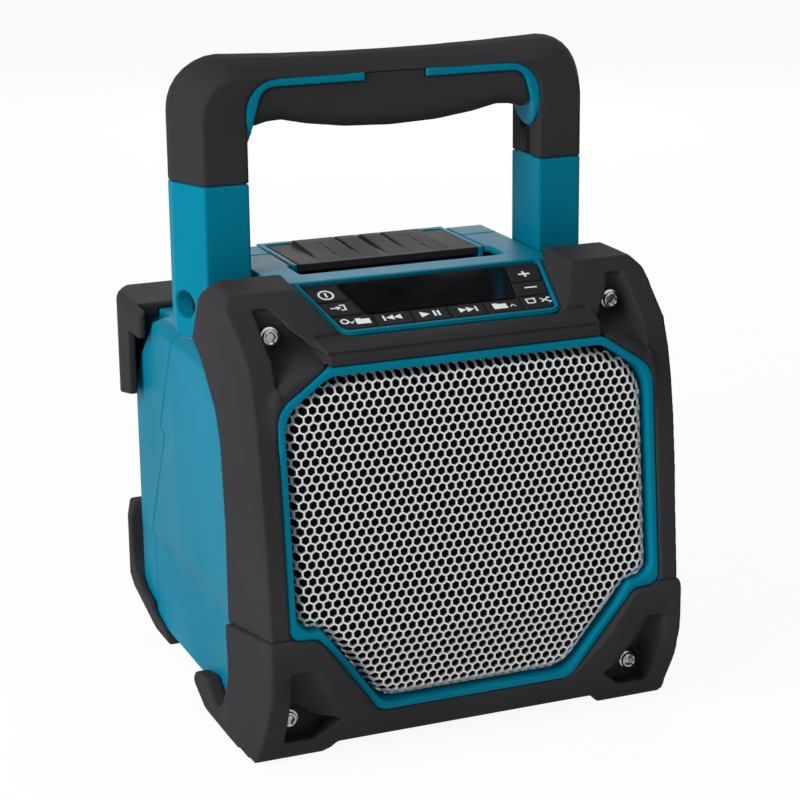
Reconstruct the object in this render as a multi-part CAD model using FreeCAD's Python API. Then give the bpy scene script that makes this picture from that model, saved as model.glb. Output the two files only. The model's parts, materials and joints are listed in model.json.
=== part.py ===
# Portable jobsite speaker with a folding handle, a battery door and a tilted control panel.
# Work frame in millimetres: X to the right, Y to the rear with its zero at the toe of the front feet,
# Z up from the floor. Every finished piece moves by MIDDLE so that the origin is under the middle.
import math
import os

import FreeCAD
import Part

V = FreeCAD.Vector

# Whole object
FRONT_Y = -20.4
REAR_Y = 208.4
MIDDLE = -(FRONT_Y + REAR_Y) / 2.0
GAP = 0.3
# Straight chords stay this close to the true round: parts seen from outside, and parts inside
ROUND_SLACK = 0.15
INNER_SLACK = 0.5

# Face plane of the speaker: leans back
FACE_FOOT_Z = 57.5
FACE_FOOT_Y = -17.9
FACE_TOP_Z = 176.0
FACE_TOP_Y = -6.2
CHIN_Z = 18.0
CHIN_Y = -12.9
FACE_LEAN = math.degrees(math.atan2(FACE_TOP_Y - FACE_FOOT_Y, FACE_TOP_Z - FACE_FOOT_Z))

# Outer side view of the front bumpers, as Y and Z pairs from the floor upwards
NOSE = [(1.5, 0.0), (-2.5, 4.0), (-13.5, 21.5), (-17.6, 33.0), (-18.3, 45.0), (-18.3, 61.0), (-15.5, 90.7),
        (-13.0, 116.0), (-10.5, 137.5), (-7.3, 155.7), (-4.1, 167.8), (0.9, 179.4), (14.4, 191.1),
        (30.1, 202.4), (52.8, 204.4)]
RAIL_HALF = 96.5
WING_HALF = 99.5
BUMPER_WALL = 4.0
# Rear edge of the bumper wings, side view
WING_EDGE = [(33.0, 0.0), (33.0, 102.0), (36.5, 136.6), (42.0, 150.0), (60.0, 168.0), (72.0, 175.0),
             (60.5, 196.0), (52.8, 204.4)]
BOOT_SEAM_Z = 63.0
BOOT_PROUD = 2.1
BOOT_HALF_FRONT = 98.3
BOOT_HALF_REAR = 101.5
BOOT_EDGE = [(65.0, 0.0), (84.0, 8.0), (80.0, 13.0), (62.0, 17.0), (48.0, 7.5), (38.0, 15.0), (30.5, 30.0),
             (31.5, 66.0)]
FOOT_INNER_X = 68.1
CROSSBAR_Z = 6.0

# Body
BODY_BOTTOM_Z = 5.0
BODY_HALF = 98.0
BODY_LOW_HALF = 94.5
LEDGE_TOP_Z = 62.0
LEDGE_LOW_Z = 52.7
RECESS_Z = 167.0
BODY_REAR_Y = 194.0
BODY_WALL = 3.0
BAFFLE_DEPTH = 12.0
BAFFLE_THICK = 4.0
HEAD_HALF = 63.0
HUMP_HALF = 66.8
HUMP_TOP_Z = 200.0
HUMP_FRONT_Y = 50.5
HUMP_REAR_Y = 130.0
HUMP_FOOT_Y = 166.0
SEAM = [(160.0, -5.0), (160.0, 60.0), (128.6, 114.0), (137.6, 115.0), (111.5, 161.0), (111.5, 240.0)]

# Trim ring and grille, front view, right half from the top down
TRIM = [(0.0, 176.0), (62.0, 176.0), (88.1, 155.0), (88.1, 61.6), (75.0, 61.0), (46.3, 21.6), (0.0, 21.6)]
TRIM_ROUND = [0.0, 9.0, 12.0, 5.0, 7.0, 8.0, 0.0]
TRIM_FLAT = 4.2
TRIM_DEPTH = 9.0
GRILLE_INSET = 5.3
GRILLE_SHEET = 1.2
GRILLE_TURN = 6.5
GRILLE_SUNK = 0.6
HOLE_PITCH = 15.0
HOLE_FLATS = 11.8

# Screws: head, socket and shank
SCREW_HEAD_R = 4.6
SCREW_TOP_R = 4.1
SCREW_RISE = 2.2
SCREW_SOCKET_R = 2.2
SCREW_SOCKET_DEEP = 1.4
SCREW_SHANK_R = 1.6
SCREW_SIDES = 10
FRONT_SHANK = 18.0
REAR_SHANK = 13.0
REAR_SEAT_R = 5.0
REAR_BOSS_R = 6.6

# Floors of the screw pockets
TOP_FLOOR_Y = 21.3
LOW_FLOOR_Y = 2.4
REAR_SCREWS = [(74.0, 82.0), (74.0, 108.0)]

# Control panel frame: lower edge, tilt
PANEL_Y = 10.2
PANEL_Z = 185.4
PANEL_TILT = 20.2
PANEL_LONG = 42.2
PANEL_LOW_HALF = 51.8
PANEL_TOP_HALF = 60.3
PANEL_STACK = 6.0
BROW_HIGH = 24.0
BROW_SPREAD = 24.0
BEZEL_WIDE = 1.9
BEZEL_PROUD = 0.6
KEYPAD_THICK = 2.4
DISPLAY_LOW_HALF = 35.2
DISPLAY_TOP_HALF = 40.4
DISPLAY_LOW_U = 14.4
DISPLAY_TOP_U = 38.8
DISPLAY_PROUD = 0.8
KEYPAD_TOP = -1.0
BOARD_THICK = 1.1
ROW_LOW_U = 4.6
ROW_TOP_U = 13.6
ROW_SPLITS = [-33.2, -15.6, 1.7, 19.0, 36.4]
SIDE_SPLITS = [15.4, 25.9]
BUTTON_GAP = 0.35
BUTTON_HIGH = 2.1
BUTTON_PROUD = 0.6

# Handle
PIVOT_Y = 87.7
PIVOT_Z = 186.3
POST_IN = 70.4
POST_FRONT_Y = 72.7
POST_REAR_Y = 102.7
POST_END_R = 15.0
JOINT_Z = 241.0
PIN_R = 3.4
HOLE_R = 5.9
HOLE_DEEP = 7.0
STRIP_TOP_Z = 286.4
STRIP_WIDE = 3.6
STRIP_CORNER_R = 15.0
# Handle sections from front to rear: Y, outer half width, top height, corner radius
BOWS = [(72.7, 91.1, 288.0, 18.0), (80.0, 94.1, 292.2, 19.0), (87.0, 97.0, 295.0, 20.5),
        (93.0, 99.6, 296.2, 22.0), (99.0, 99.6, 294.4, 22.0), (102.7, 97.8, 291.5, 20.0)]
BOW_CHORDS = 7
TOP_DIP = 2.1
GRIP_LOW = [(66.0, 264.6), (59.0, 266.4), (52.0, 266.8), (40.0, 264.2), (22.0, 261.8), (0.0, 260.9)]
GRIP_FRONT_Y = 74.2
GRIP_REAR_Y = 100.8
GRIP_ROUND = 8.0
GRIP_CHORDS = 4
BEAM_FRONT_Y = 82.0
BEAM_REAR_Y = 96.0
BEAM_WIDE = 4.0
STRIP_END_X = 14.7
STRIP_FRONT_Y = 73.1
STRIP_REAR_Y = 97.4
TONGUE_Z = 255.4

# Rear bumpers
CAP_TOP_Z = 170.0
CAP_LOW_Z = 124.5
CAP_HALF = 102.6
CAP_FRONT_Y = 160.5
CAP_BAND_Y = 166.0
CAP_BAND_WIDE = 4.0
CAP_PLATE_Z = 163.2
CAP_TAB_Y = 147.0
CAP_TAB_LOW_Z = 156.6
CAP_INNER_X = 58.5
HEEL_HALF = 98.5
HEEL_FOOT_HALF = 93.5
HEEL_TOP_Z = 60.0
HEEL_SOLE_END_Y = 171.0
# Notch in the upper rear corners of the body, under the bumper
NOTCH_X = 88.0
NOTCH = [(141.0, 168.6), (184.0, 130.5), (187.0, 119.0), (240.0, 119.0), (240.0, 240.0), (141.0, 240.0)]

# Battery bay and door
BAY_HALF = 44.0
BAY_FRONT_Y = 122.0
BAY_LOW_Z = 24.0
BAY_TOP_Z = 158.0
BAY_WALL = 2.5
LINER_REAR_Y = 188.4
DOOR_HALF = 54.0
DOOR_LOW_Z = 19.0
DOOR_THICK = 4.0
DOOR_SLOPE_REAR_Y = HUMP_FOOT_Y + 9.0
DOOR_BACK_Y = HUMP_FOOT_Y + 1.5
DOOR_BACK_Z = RECESS_Z + 8.0
DOOR_PIN_Y = 195.5
DOOR_PIN_Z = 17.0
DOOR_PIN_R = 1.6
HINGE_ROOM_R = 11.4
LID_HALF = 47.6
LID_FRONT_Y = 80.0
LID_TRAY_Z = 190.6
TRAY_FLOOR_Z = 193.3
LOCKER_HALF = 44.3
LOCKER_FRONT_Y = 84.0
LOCKER_LOW_Z = 195.4
LOCKER_PIN_Y = 126.0
LOCKER_PIN_Z = 196.9
LOCKER_PIN_R = 1.2
LOCKER_ROUND = 3.1
RIB_COUNT = 3
RIB_WIDE = 9.6
RIB_PITCH = 10.7
RIB_RISE = 1.9
SCOOP_HALF = 50.0
SCOOP_FRONT_Y = 65.5
SCOOP_LOW_Z = 193.6

# Socket panel on the right side
PORT_Y0 = 66.9
PORT_Y1 = 106.0
PORT_Z0 = 84.0
PORT_Z1 = 128.0
PORT_DEEP = 9.0
PORT_WALL = 1.6
SOCKET_LONG = 12.0
ROUND_Z = 98.0
USB_Y = 76.0
USB_Z = 114.0
USB_WIDE = 14.5
USB_HIGH = 6.0
USB_LONG = 14.0
JACK_Y = 96.0
JACK_R = 3.4
JACK_HOLE_R = 1.8
POWER_Y = 78.0
POWER_R = 5.0
POWER_HOLE_R = 3.0
FLAP_THICK = 1.6

# Speaker drivers
WOOFER_Z = 88.5
WOOFER_R = 47.5
WOOFER_FLANGE = 3.0
WOOFER_CUT_R = 42.5
TWEETER_Z = 151.5
TWEETER_R = 13.0
TWEETER_CUT_R = 11.5
CHORDS = 3


def mirror(shape):
    return shape.mirror(V(0, 0, 0), V(1, 0, 0))


def both(shape):
    return Part.makeCompound([shape, mirror(shape)])


def fuse(shapes):
    body = shapes[0]
    for piece in shapes[1:]:
        body = body.fuse(piece)
    return body.removeSplitter()


def cut(body, tools):
    for tool in tools:
        body = body.cut(tool)
    return body


def spot(axis, level, a, b):
    # The pair a, b lies in the plane square to the axis
    if axis == "x":
        return V(level, a, b)
    if axis == "y":
        return V(a, level, b)
    return V(a, b, level)


def arc_points(before, corner, after, radius):
    # Start, middle and end of the arc that rounds one corner
    ax, ay = before[0] - corner[0], before[1] - corner[1]
    bx, by = after[0] - corner[0], after[1] - corner[1]
    la, lb = math.hypot(ax, ay), math.hypot(bx, by)
    ax, ay, bx, by = ax / la, ay / la, bx / lb, by / lb
    half = math.acos(max(-1.0, min(1.0, ax * bx + ay * by))) / 2.0
    reach = min(radius / math.tan(half), 0.48 * la, 0.48 * lb)
    true_r = reach * math.tan(half)
    mx, my = ax + bx, ay + by
    lm = math.hypot(mx, my)
    far = true_r / math.sin(half)
    cx, cy = corner[0] + mx / lm * far, corner[1] + my / lm * far
    mid = (cx - mx / lm * true_r, cy - my / lm * true_r)
    start = (corner[0] + ax * reach, corner[1] + ay * reach)
    end = (corner[0] + bx * reach, corner[1] + by * reach)
    return start, mid, end


def chord_count(radius, turn, slack=ROUND_SLACK):
    step = 2.0 * math.acos(1.0 - min(slack / radius, 0.9))
    return max(1, math.ceil(turn / step - 0.01))


def chords(before, corner, after, radius, count=0):
    # Corner rounded with a few straight chords
    start, mid, end = arc_points(before, corner, after, radius)
    ax, ay, mx, my, bx, by = start[0], start[1], mid[0], mid[1], end[0], end[1]
    d = 2.0 * (ax * (my - by) + mx * (by - ay) + bx * (ay - my))
    if abs(d) < 1e-9:
        return [start, end]
    a2, m2, b2 = ax * ax + ay * ay, mx * mx + my * my, bx * bx + by * by
    cx = (a2 * (my - by) + m2 * (by - ay) + b2 * (ay - my)) / d
    cy = (a2 * (bx - mx) + m2 * (ax - bx) + b2 * (mx - ax)) / d
    r = math.hypot(ax - cx, ay - cy)
    t0 = math.atan2(ay - cy, ax - cx)
    t1 = math.atan2(by - cy, bx - cx)
    turn = (t1 - t0 + math.pi) % (2.0 * math.pi) - math.pi
    count = count or chord_count(r, abs(turn))
    return [(cx + r * math.cos(t0 + turn * k / count), cy + r * math.sin(t0 + turn * k / count))
            for k in range(count + 1)]


def rounded(points, rounds):
    # Outline with its corners rounded by chords
    count = len(points)
    ring = []
    for i in range(count):
        if rounds[i] > 0.0:
            ring += chords(points[i - 1], points[i], points[(i + 1) % count], rounds[i])
        else:
            ring.append(points[i])
    kept = []
    for point in ring:
        if not kept or math.dist(point, kept[-1]) > 0.002:
            kept.append(point)
    if math.dist(kept[0], kept[-1]) < 0.002:
        kept.pop()
    return kept


def wire(axis, level, points, rounds=None):
    if rounds:
        points = rounded(points, rounds)
    ring = [spot(axis, level, a, b) for a, b in points]
    return Part.makePolygon(ring + [ring[0]])


def prism(axis, low, high, points, rounds=None):
    face = Part.Face(wire(axis, low, points, rounds))
    step = {"x": V(high - low, 0, 0), "y": V(0, high - low, 0), "z": V(0, 0, high - low)}[axis]
    return face.extrude(step)


def block(x0, x1, y0, y1, z0, z1):
    return Part.makeBox(x1 - x0, y1 - y0, z1 - z0, V(x0, y0, z0))


def ring_points(a, b, radius, sides, start=0.5):
    step = 2.0 * math.pi / sides
    return [(a + radius * math.cos(step * (k + start)), b + radius * math.sin(step * (k + start)))
            for k in range(sides)]


def sides_for(radius, slack):
    return max(6, 2 * math.ceil(chord_count(radius, 2.0 * math.pi, slack) / 2.0))


def rod(axis, radius, low, high, a, b, slack=ROUND_SLACK):
    # Many-sided rod whose corners lie on the circle
    return prism(axis, low, high, ring_points(a, b, radius, sides_for(radius, slack)))


def bore(axis, radius, low, high, a, b, slack=ROUND_SLACK):
    # Many-sided hole whose flats lie on the circle
    sides = sides_for(radius, slack)
    return prism(axis, low, high, ring_points(a, b, radius / math.cos(math.pi / sides), sides))


def full(half_points, half_rounds=None):
    # Closed outline from a right half that starts and ends on the middle line
    points = list(half_points)
    rounds = list(half_rounds or [0.0] * len(points))
    inner = [(p, r) for p, r in zip(points, rounds) if p[0] > 0.001]
    left = [((-p[0], p[1]), r) for p, r in reversed(inner)]
    ring = inner + left
    return [p for p, r in ring], [r for p, r in ring]


def inset(points, amount):
    # Same outline moved inwards on every side, for outlines that run clockwise
    count = len(points)
    lines = []
    for i in range(count):
        a, b = points[i], points[(i + 1) % count]
        dx, dy = b[0] - a[0], b[1] - a[1]
        length = math.hypot(dx, dy)
        nx, ny = dy / length, -dx / length
        lines.append((a[0] + nx * amount, a[1] + ny * amount, dx, dy))
    out = []
    for i in range(count):
        x1, y1, dx1, dy1 = lines[i - 1]
        x2, y2, dx2, dy2 = lines[i]
        cross = dx1 * dy2 - dy1 * dx2
        if abs(cross) < 1e-9:
            out.append((x2, y2))
            continue
        t = ((x2 - x1) * dy2 - (y2 - y1) * dx2) / cross
        out.append((x1 + dx1 * t, y1 + dy1 * t))
    return out


def on_panel(shape):
    # From flat X, U, N to the tilted panel
    shape = shape.copy()
    shape.rotate(V(0, 0, 0), V(1, 0, 0), PANEL_TILT)
    shape.translate(V(0, PANEL_Y, PANEL_Z))
    return shape


def on_face(shape):
    # From upright to the lean of the speaker face
    shape = shape.copy()
    shape.rotate(V(0, FACE_FOOT_Y, FACE_FOOT_Z), V(1, 0, 0), -FACE_LEAN)
    return shape


def face_y(z):
    # Y of the face plane at a height, with the chin that turns back at the bottom
    if z >= FACE_FOOT_Z:
        share = (z - FACE_FOOT_Z) / (FACE_TOP_Z - FACE_FOOT_Z)
        return FACE_FOOT_Y + share * (FACE_TOP_Y - FACE_FOOT_Y)
    share = (FACE_FOOT_Z - z) / (FACE_FOOT_Z - CHIN_Z)
    return FACE_FOOT_Y + share * (CHIN_Y - FACE_FOOT_Y)


def face_slab(front, back, half=130.0):
    # Everything between two depths behind the face plane
    heights = [CHIN_Z - 20.0, FACE_FOOT_Z, FACE_TOP_Z + 12.0]
    near = [(face_y(z) + front, z) for z in heights]
    far = [(face_y(z) + back, z) for z in reversed(heights)]
    return prism("x", -half, half, near + far)


def trim_outline(amount, change=0.0):
    points, rounds = full(TRIM, TRIM_ROUND)
    return inset(points, amount), [max(r + change, 1.5) for r in rounds]


def trim_prism(amount, low, high, change=0.0):
    points, rounds = trim_outline(amount, change)
    return prism("y", low, high, points, rounds)


# Bumpers and body shapes

def nose_solid(extra=0.0):
    low = [(y - extra, z) for y, z in NOSE]
    points = low + [(100.0, 204.4), (100.0, 0.0)]
    side = prism("x", -110.0, 110.0, points)
    plan = [(-RAIL_HALF - extra, -30.0), (-WING_HALF - extra, 33.0), (-WING_HALF - extra, 110.0),
            (WING_HALF + extra, 110.0), (WING_HALF + extra, 33.0), (RAIL_HALF + extra, -30.0)]
    return side.common(prism("z", -1.0, 230.0, plan))


def wing_region(edge):
    points = [(-40.0, edge[0][1])] + edge + [(-40.0, edge[-1][1])]
    return prism("x", -120.0, 120.0, points)


def body_section(half, low_half, floor_z, top_z):
    # Cross-section of the body, with the stepped side ledge and the handle recess
    right = [(low_half - 3.5, floor_z), (low_half, floor_z + 4.0), (low_half, LEDGE_LOW_Z),
             (half, LEDGE_TOP_Z), (half, top_z - 4.0), (half - 6.0, top_z)]
    left = [(-x, z) for x, z in reversed(right)]
    return right + left


def body_side(offset):
    # Side view of the lower body between the baffle and the rear wall
    front = [(face_y(z) + BAFFLE_DEPTH + offset, z) for z in (30.0, FACE_FOOT_Z, 170.0)]
    low = BODY_BOTTOM_Z + offset
    rear = BODY_REAR_Y - offset
    top = RECESS_Z - offset
    return [(16.0 + offset, low), (1.0 + offset, 14.0 + offset)] + front + [
        (rear - 3.0, top), (rear, top - 12.0), (rear, low + 16.0), (rear - 14.0, low)]


def body_plan(offset):
    right = [(93.0 - offset, -40.0), (BODY_HALF - offset, 30.0), (BODY_HALF - offset, 110.0),
             (96.0 - offset, 150.0), (95.0 - offset, 182.5), (86.0 - offset, BODY_REAR_Y + 0.5 - offset),
             (86.0 - offset, 230.0)]
    return right + [(-x, y) for x, y in reversed(right)]


def rear_notch(offset):
    # Sloping corner that the upper rear bumper bridges
    shift = [(y - offset, z - offset) for y, z in NOTCH[:3]]
    points = shift + [(NOTCH[3][0], shift[2][1])] + NOTCH[4:]
    points[-1] = (shift[0][0], NOTCH[-1][1])
    return both(prism("x", NOTCH_X - offset, 130.0, points))


def lower_body(offset):
    section = body_section(BODY_HALF - offset, BODY_LOW_HALF - offset, BODY_BOTTOM_Z + offset, RECESS_Z - offset)
    body = prism("y", -30.0, 230.0, section)
    body = body.common(prism("x", -120.0, 120.0, body_side(offset)))
    body = body.common(prism("z", -1.0, 230.0, body_plan(offset)))
    return body.cut(rear_notch(offset))


def head(offset):
    # Part under the shoulders and the control panel
    tilt = math.radians(PANEL_TILT)
    drop = PANEL_STACK + offset
    y0 = PANEL_Y + drop * math.sin(tilt)
    z0 = PANEL_Z - drop * math.cos(tilt)
    reach = HUMP_FRONT_Y + 8.0 - y0
    points = [(face_y(165.0) + BAFFLE_DEPTH + offset, 160.0), (face_y(170.0) + BAFFLE_DEPTH + offset, 170.0),
              (y0, z0), (y0 + reach, z0 + reach * math.tan(tilt)), (y0 + reach, 160.0)]
    return prism("x", -(HEAD_HALF - offset), HEAD_HALF - offset, points)


def hump(offset):
    points = [(HUMP_FRONT_Y + offset, 150.0), (HUMP_FRONT_Y + offset, HUMP_TOP_Z - offset),
              (HUMP_REAR_Y - offset * 0.5, HUMP_TOP_Z - offset), (HUMP_FOOT_Y - offset, RECESS_Z - offset),
              (HUMP_FOOT_Y - offset, 150.0)]
    half = HUMP_HALF - offset
    body = prism("x", -half, half, points)
    return body


def shoulder_core(offset):
    points = [(26.5, 165.0), (26.5, 190.0), (34.0, 197.0 - offset), (49.0, 198.5 - offset), (56.5, 192.0),
              (67.5, 171.0), (67.5, 165.0)]
    return prism("x", 72.0, 93.0 - offset, points)


def corner_relief():
    # Room behind the lower pockets for the bumper floor under the screws
    corner = block(56.0, 120.0, -40.0, LOW_FLOOR_Y + 4.0, 0.0, 50.0)
    return both(corner)


def body_solid():
    lower = lower_body(0.0).cut(corner_relief())
    parts = [lower, head(0.0), hump(0.0), shoulder_core(0.0), mirror(shoulder_core(0.0))]
    return fuse(parts)


def bumper_shell(edge, extra):
    # Skin between the outer nose and the body, thick over the rails
    return nose_solid(extra).common(wing_region(edge))


def body_front_core():
    # Body narrowed where the bumper wings lie on it
    plan = [(-(93.0), -40.0), (-(WING_HALF - BUMPER_WALL), 33.0), (-(WING_HALF - BUMPER_WALL), 110.0),
            (WING_HALF - BUMPER_WALL, 110.0), (WING_HALF - BUMPER_WALL, 33.0), (93.0, -40.0)]
    return prism("z", -1.0, 230.0, plan)


def screw_spots():
    return [(80.8, TOP_FLOOR_Y, 185.3), (83.2, LOW_FLOOR_Y, 18.2)]


def top_pocket():
    # Deep pocket in the upper corner, open to the front and to the slope above the trim
    front = [(63.6, 171.5), (86.2, 148.0), (86.3, 163.0), (86.9, 184.5), (87.4, 197.4), (80.5, 197.4),
             (74.5, 189.8), (66.5, 182.7), (63.6, 181.4)]
    wall = prism("y", -30.0, 30.0, front)
    floor = [(-30.0, 138.0), (FACE_TOP_Y - 0.5, 158.0), (2.0, 174.0), (TOP_FLOOR_Y, 180.5),
             (TOP_FLOOR_Y + 3.2, 197.6), (TOP_FLOOR_Y + 3.2, 230.0), (-30.0, 230.0)]
    return wall.common(prism("x", 50.0, 110.0, floor))


def low_pocket():
    front = [(74.0, 10.8), (88.5, 11.0), (88.8, 20.0), (87.4, 31.5), (75.0, 22.8), (62.3, 21.0)]
    wall = prism("y", -40.0, 20.0, front)
    floor = [(-40.0, 60.0), (-17.0, 50.0), (-7.0, 38.0), (LOW_FLOOR_Y, 25.5), (LOW_FLOOR_Y, 0.0), (-40.0, 0.0)]
    return wall.common(prism("x", 50.0, 110.0, floor))


def shoulder_bevel():
    # Rounded upper outer edge of the shoulders
    return prism("y", -60.0, 130.0, [(91.0, 204.6), (95.2, 202.6), (98.6, 198.6), (100.2, 193.0), (120.0, 193.0),
                                     (120.0, 215.0), (91.0, 215.0)])


def panel_outline(half_low, half_top, u0, u1):
    return [(half_low, u0), (half_top, u1), (-half_top, u1), (-half_low, u0)]


def panel_space(extra):
    points = panel_outline(PANEL_LOW_HALF + extra, PANEL_TOP_HALF + extra, -extra, PANEL_LONG + extra)
    tool = prism("z", -PANEL_STACK, 30.0, points, [6.0, 2.0, 2.0, 6.0])
    return on_panel(tool)


def brow_cut():
    # Funnel whose sides rise from the panel frame to the shoulders, then the ground in front of the panel
    low = panel_ring(0.3, 0.0, -4.0)
    high = panel_ring(BROW_SPREAD, BROW_HIGH, -4.0)
    funnel = solid_from(flat_cap(low) + band_faces(low, high) + flat_cap(high))
    nose = prism("x", -64.0, 64.0, [(-30.0, 181.2), (2.9, 181.2), (PANEL_Y + 0.5, PANEL_Z + 0.2), (-30.0, 230.0)])
    behind = block(-PANEL_TOP_HALF - 3.0, PANEL_TOP_HALF + 3.0, HUMP_FRONT_Y - 1.0, 130.0, 150.0, 230.0)
    return [on_panel(funnel), nose, behind]


def panel_ring(spread, level, foot):
    # Outline of the panel widened to the sides, as points on a level above it
    slope = (PANEL_TOP_HALF - PANEL_LOW_HALF) / PANEL_LONG
    top_u = PANEL_LONG + 6.0
    low_half = PANEL_LOW_HALF + slope * foot + spread
    top_half = PANEL_LOW_HALF + slope * top_u + spread
    return [V(low_half, foot, level), V(top_half, top_u, level), V(-top_half, top_u, level), V(-low_half, foot, level)]


def flat_cap(ring):
    return [Part.Face(Part.makePolygon(ring + [ring[0]]))]


def solid_from(faces):
    shell = Part.makeShell(faces)
    shell.sewShape()
    solid = Part.Solid(shell)
    if solid.Volume < 0:
        solid.reverse()
    return solid


def bumpers(body):
    face_hole = trim_prism(-GAP * 0.5, -40.0, 20.0).common(face_slab(-30.0, 30.0))
    arch = bumper_shell(WING_EDGE, 0.0)
    arch = arch.common(block(-130, 130, -60, 130, BOOT_SEAM_Z, 230))
    arch = cut(arch, [face_hole, panel_space(0.15), top_pocket(), mirror(top_pocket())])
    arch = cut(arch, brow_cut())
    arch = cut(arch, [shoulder_bevel(), mirror(shoulder_bevel())])
    groove = prism("x", -60.0, 60.0, [(-4.0, 179.0), (4.0, 180.4), (3.0, 181.4), (-4.0, 180.2)])
    arch = arch.cut(groove)
    arch = arch.cut(body)
    foot = bumper_shell(BOOT_EDGE, 0.0).common(block(-130, 130, -60, 130, -1, BOOT_SEAM_Z))
    proud = boots()
    foot = foot.fuse(proud)
    # Clear space under the cross bar between the boots
    foot = foot.cut(prism("y", -60.0, 130.0, [(-FOOT_INNER_X, -1.0), (-62.4, CROSSBAR_Z), (62.4, CROSSBAR_Z),
                                              (FOOT_INNER_X, -1.0)]))
    foot = foot.cut(block(-62.0, 62.0, 20.0, 130.0, -1.0, 40.0))
    foot = cut(foot, [face_hole, low_pocket(), mirror(low_pocket())])
    foot = foot.cut(body)
    for x, y, z in screw_spots():
        for side in (1, -1):
            arch = arch.cut(rod("y", 2.6, -40.0, 80.0, side * x, z))
            foot = foot.cut(rod("y", 2.6, -40.0, 80.0, side * x, z))
    return arch, foot


def boots():
    # The foot bumper stands proud of the rails above
    profile = [(1.5, 0.0), (-2.5, 3.5), (-14.6, 24.0), (FRONT_Y + 0.9, 37.0), (FRONT_Y, 44.0), (FRONT_Y, 59.4),
               (FRONT_Y + 0.6, 61.2), (-18.4, 62.4), (60.0, 62.4), (60.0, 0.0)]
    side = prism("x", -120.0, 120.0, profile)
    plan = [(-BOOT_HALF_FRONT, -40.0), (-BOOT_HALF_FRONT, -18.0), (-BOOT_HALF_REAR, 31.0), (-BOOT_HALF_REAR, 90.0)]
    plan = plan + [(-x, y) for x, y in reversed(plan)]
    shape = side.common(prism("z", -1.0, 100.0, plan))
    shape = shape.common(wing_region(BOOT_EDGE))
    claw = [(28.0, 0.0), (66.0, 0.0), (84.0, 8.0), (80.0, 13.5), (63.0, 17.5), (50.0, 8.0), (40.0, 12.0),
            (30.0, 28.0)]
    tip = prism("x", 86.0, BOOT_HALF_REAR, claw, [0.0, 4.0, 3.0, 3.0, 6.0, 6.0, 6.0, 0.0])
    return fuse([shape, tip, mirror(tip)])


def main_bodies():
    """Body outside, then the two housings and the bumpers"""
    body = body_solid()
    core = body_front_core()
    shell_front = wing_region(WING_EDGE).common(block(-130, 130, -60, 130, BOOT_SEAM_Z, 230))
    boot_front = wing_region(BOOT_EDGE).common(block(-130, 130, -60, 130, -1, BOOT_SEAM_Z))
    side_skin = fuse([shell_front, boot_front]).cut(core)
    body = body.cut(side_skin)
    return body.cut(panel_space(0.1))


def seam_region(shift=0.0, rear=True):
    # Everything behind, or in front of, the leaning seam
    line = [(y + shift, z) for y, z in SEAM]
    if rear:
        points = line + [(260.0, 240.0), (260.0, -5.0)]
    else:
        points = line + [(-60.0, 240.0), (-60.0, -5.0)]
    return prism("x", -130.0, 130.0, points)


def inside(offset):
    lower = lower_body(offset).cut(both(block(56.0 - offset, 120.0, -40.0, LOW_FLOOR_Y + 4.0 + offset, 0.0,
                                              50.0 + offset)))
    return fuse([lower, head(offset), hump(offset)])


def door_region(grow):
    lid = block(-LID_HALF - grow, LID_HALF + grow, LID_FRONT_Y - grow, DOOR_SLOPE_REAR_Y, LID_TRAY_Z, HUMP_TOP_Z + 15.0)
    slope = block(-LID_HALF - grow, LID_HALF + grow, HUMP_REAR_Y - 2.0, DOOR_SLOPE_REAR_Y, RECESS_Z - 17.0,
                  HUMP_TOP_Z + 15.0)
    back = block(-DOOR_HALF - grow, DOOR_HALF + grow, DOOR_BACK_Y - grow, BODY_REAR_Y + 46.0, DOOR_LOW_Z - grow,
                 DOOR_BACK_Z)
    return fuse([lid, slope, back])


def battery_door(body):
    skin = body.cut(inside(DOOR_THICK)).common(door_region(0.0))
    tray = block(-LID_HALF, LID_HALF, LID_FRONT_Y, LOCKER_PIN_Y + 8.0, LID_TRAY_Z, HUMP_TOP_Z)
    door = fuse([skin, tray])
    pocket = block(-LOCKER_HALF - 0.5, LOCKER_HALF + 0.5, LID_FRONT_Y - 5.0,
                   LOCKER_PIN_Y + LOCKER_ROUND + 0.4, TRAY_FLOOR_Z, HUMP_TOP_Z + 9.0)
    door = door.cut(pocket)
    front_lip = block(-LID_HALF - 1.0, LID_HALF + 1.0, LID_FRONT_Y - 1.0, LOCKER_FRONT_Y, TRAY_FLOOR_Z, 210.0)
    door = door.cut(front_lip)
    # Stiffening ribs on the inner side of the rear panel
    ribs = []
    for x in (-36.0, -12.0, 12.0, 36.0):
        ribs.append(block(x - 0.8, x + 0.8, BODY_REAR_Y - DOOR_THICK - 1.0, BODY_REAR_Y - DOOR_THICK + 0.5, 34.0, 140.0))
    door = fuse([door] + ribs)
    # Hinge knuckles on the door
    for x0, x1 in ((-50.0, -38.3), (-5.7, 5.7), (38.3, 50.0)):
        knuckle = rod("x", 3.2, x0, x1, DOOR_PIN_Y, DOOR_PIN_Z)
        arm = prism("x", x0, x1, [(DOOR_PIN_Y - 3.2, DOOR_PIN_Z), (DOOR_PIN_Y + 3.2, DOOR_PIN_Z),
                                  (BODY_REAR_Y - 0.2, DOOR_LOW_Z + 13.0), (BODY_REAR_Y - 3.5, DOOR_LOW_Z + 6.0)])
        door = door.fuse(fuse([knuckle, arm]))
    door = door.removeSplitter()
    door = door.cut(bore("x", DOOR_PIN_R + GAP, -60.0, 60.0, DOOR_PIN_Y, DOOR_PIN_Z))
    for side in (1, -1):
        ear = bore("x", LOCKER_PIN_R + GAP, side * LOCKER_HALF - 3.0, side * LOCKER_HALF + 3.0,
                  LOCKER_PIN_Y, LOCKER_PIN_Z)
        door = door.cut(ear)
    return door


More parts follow.
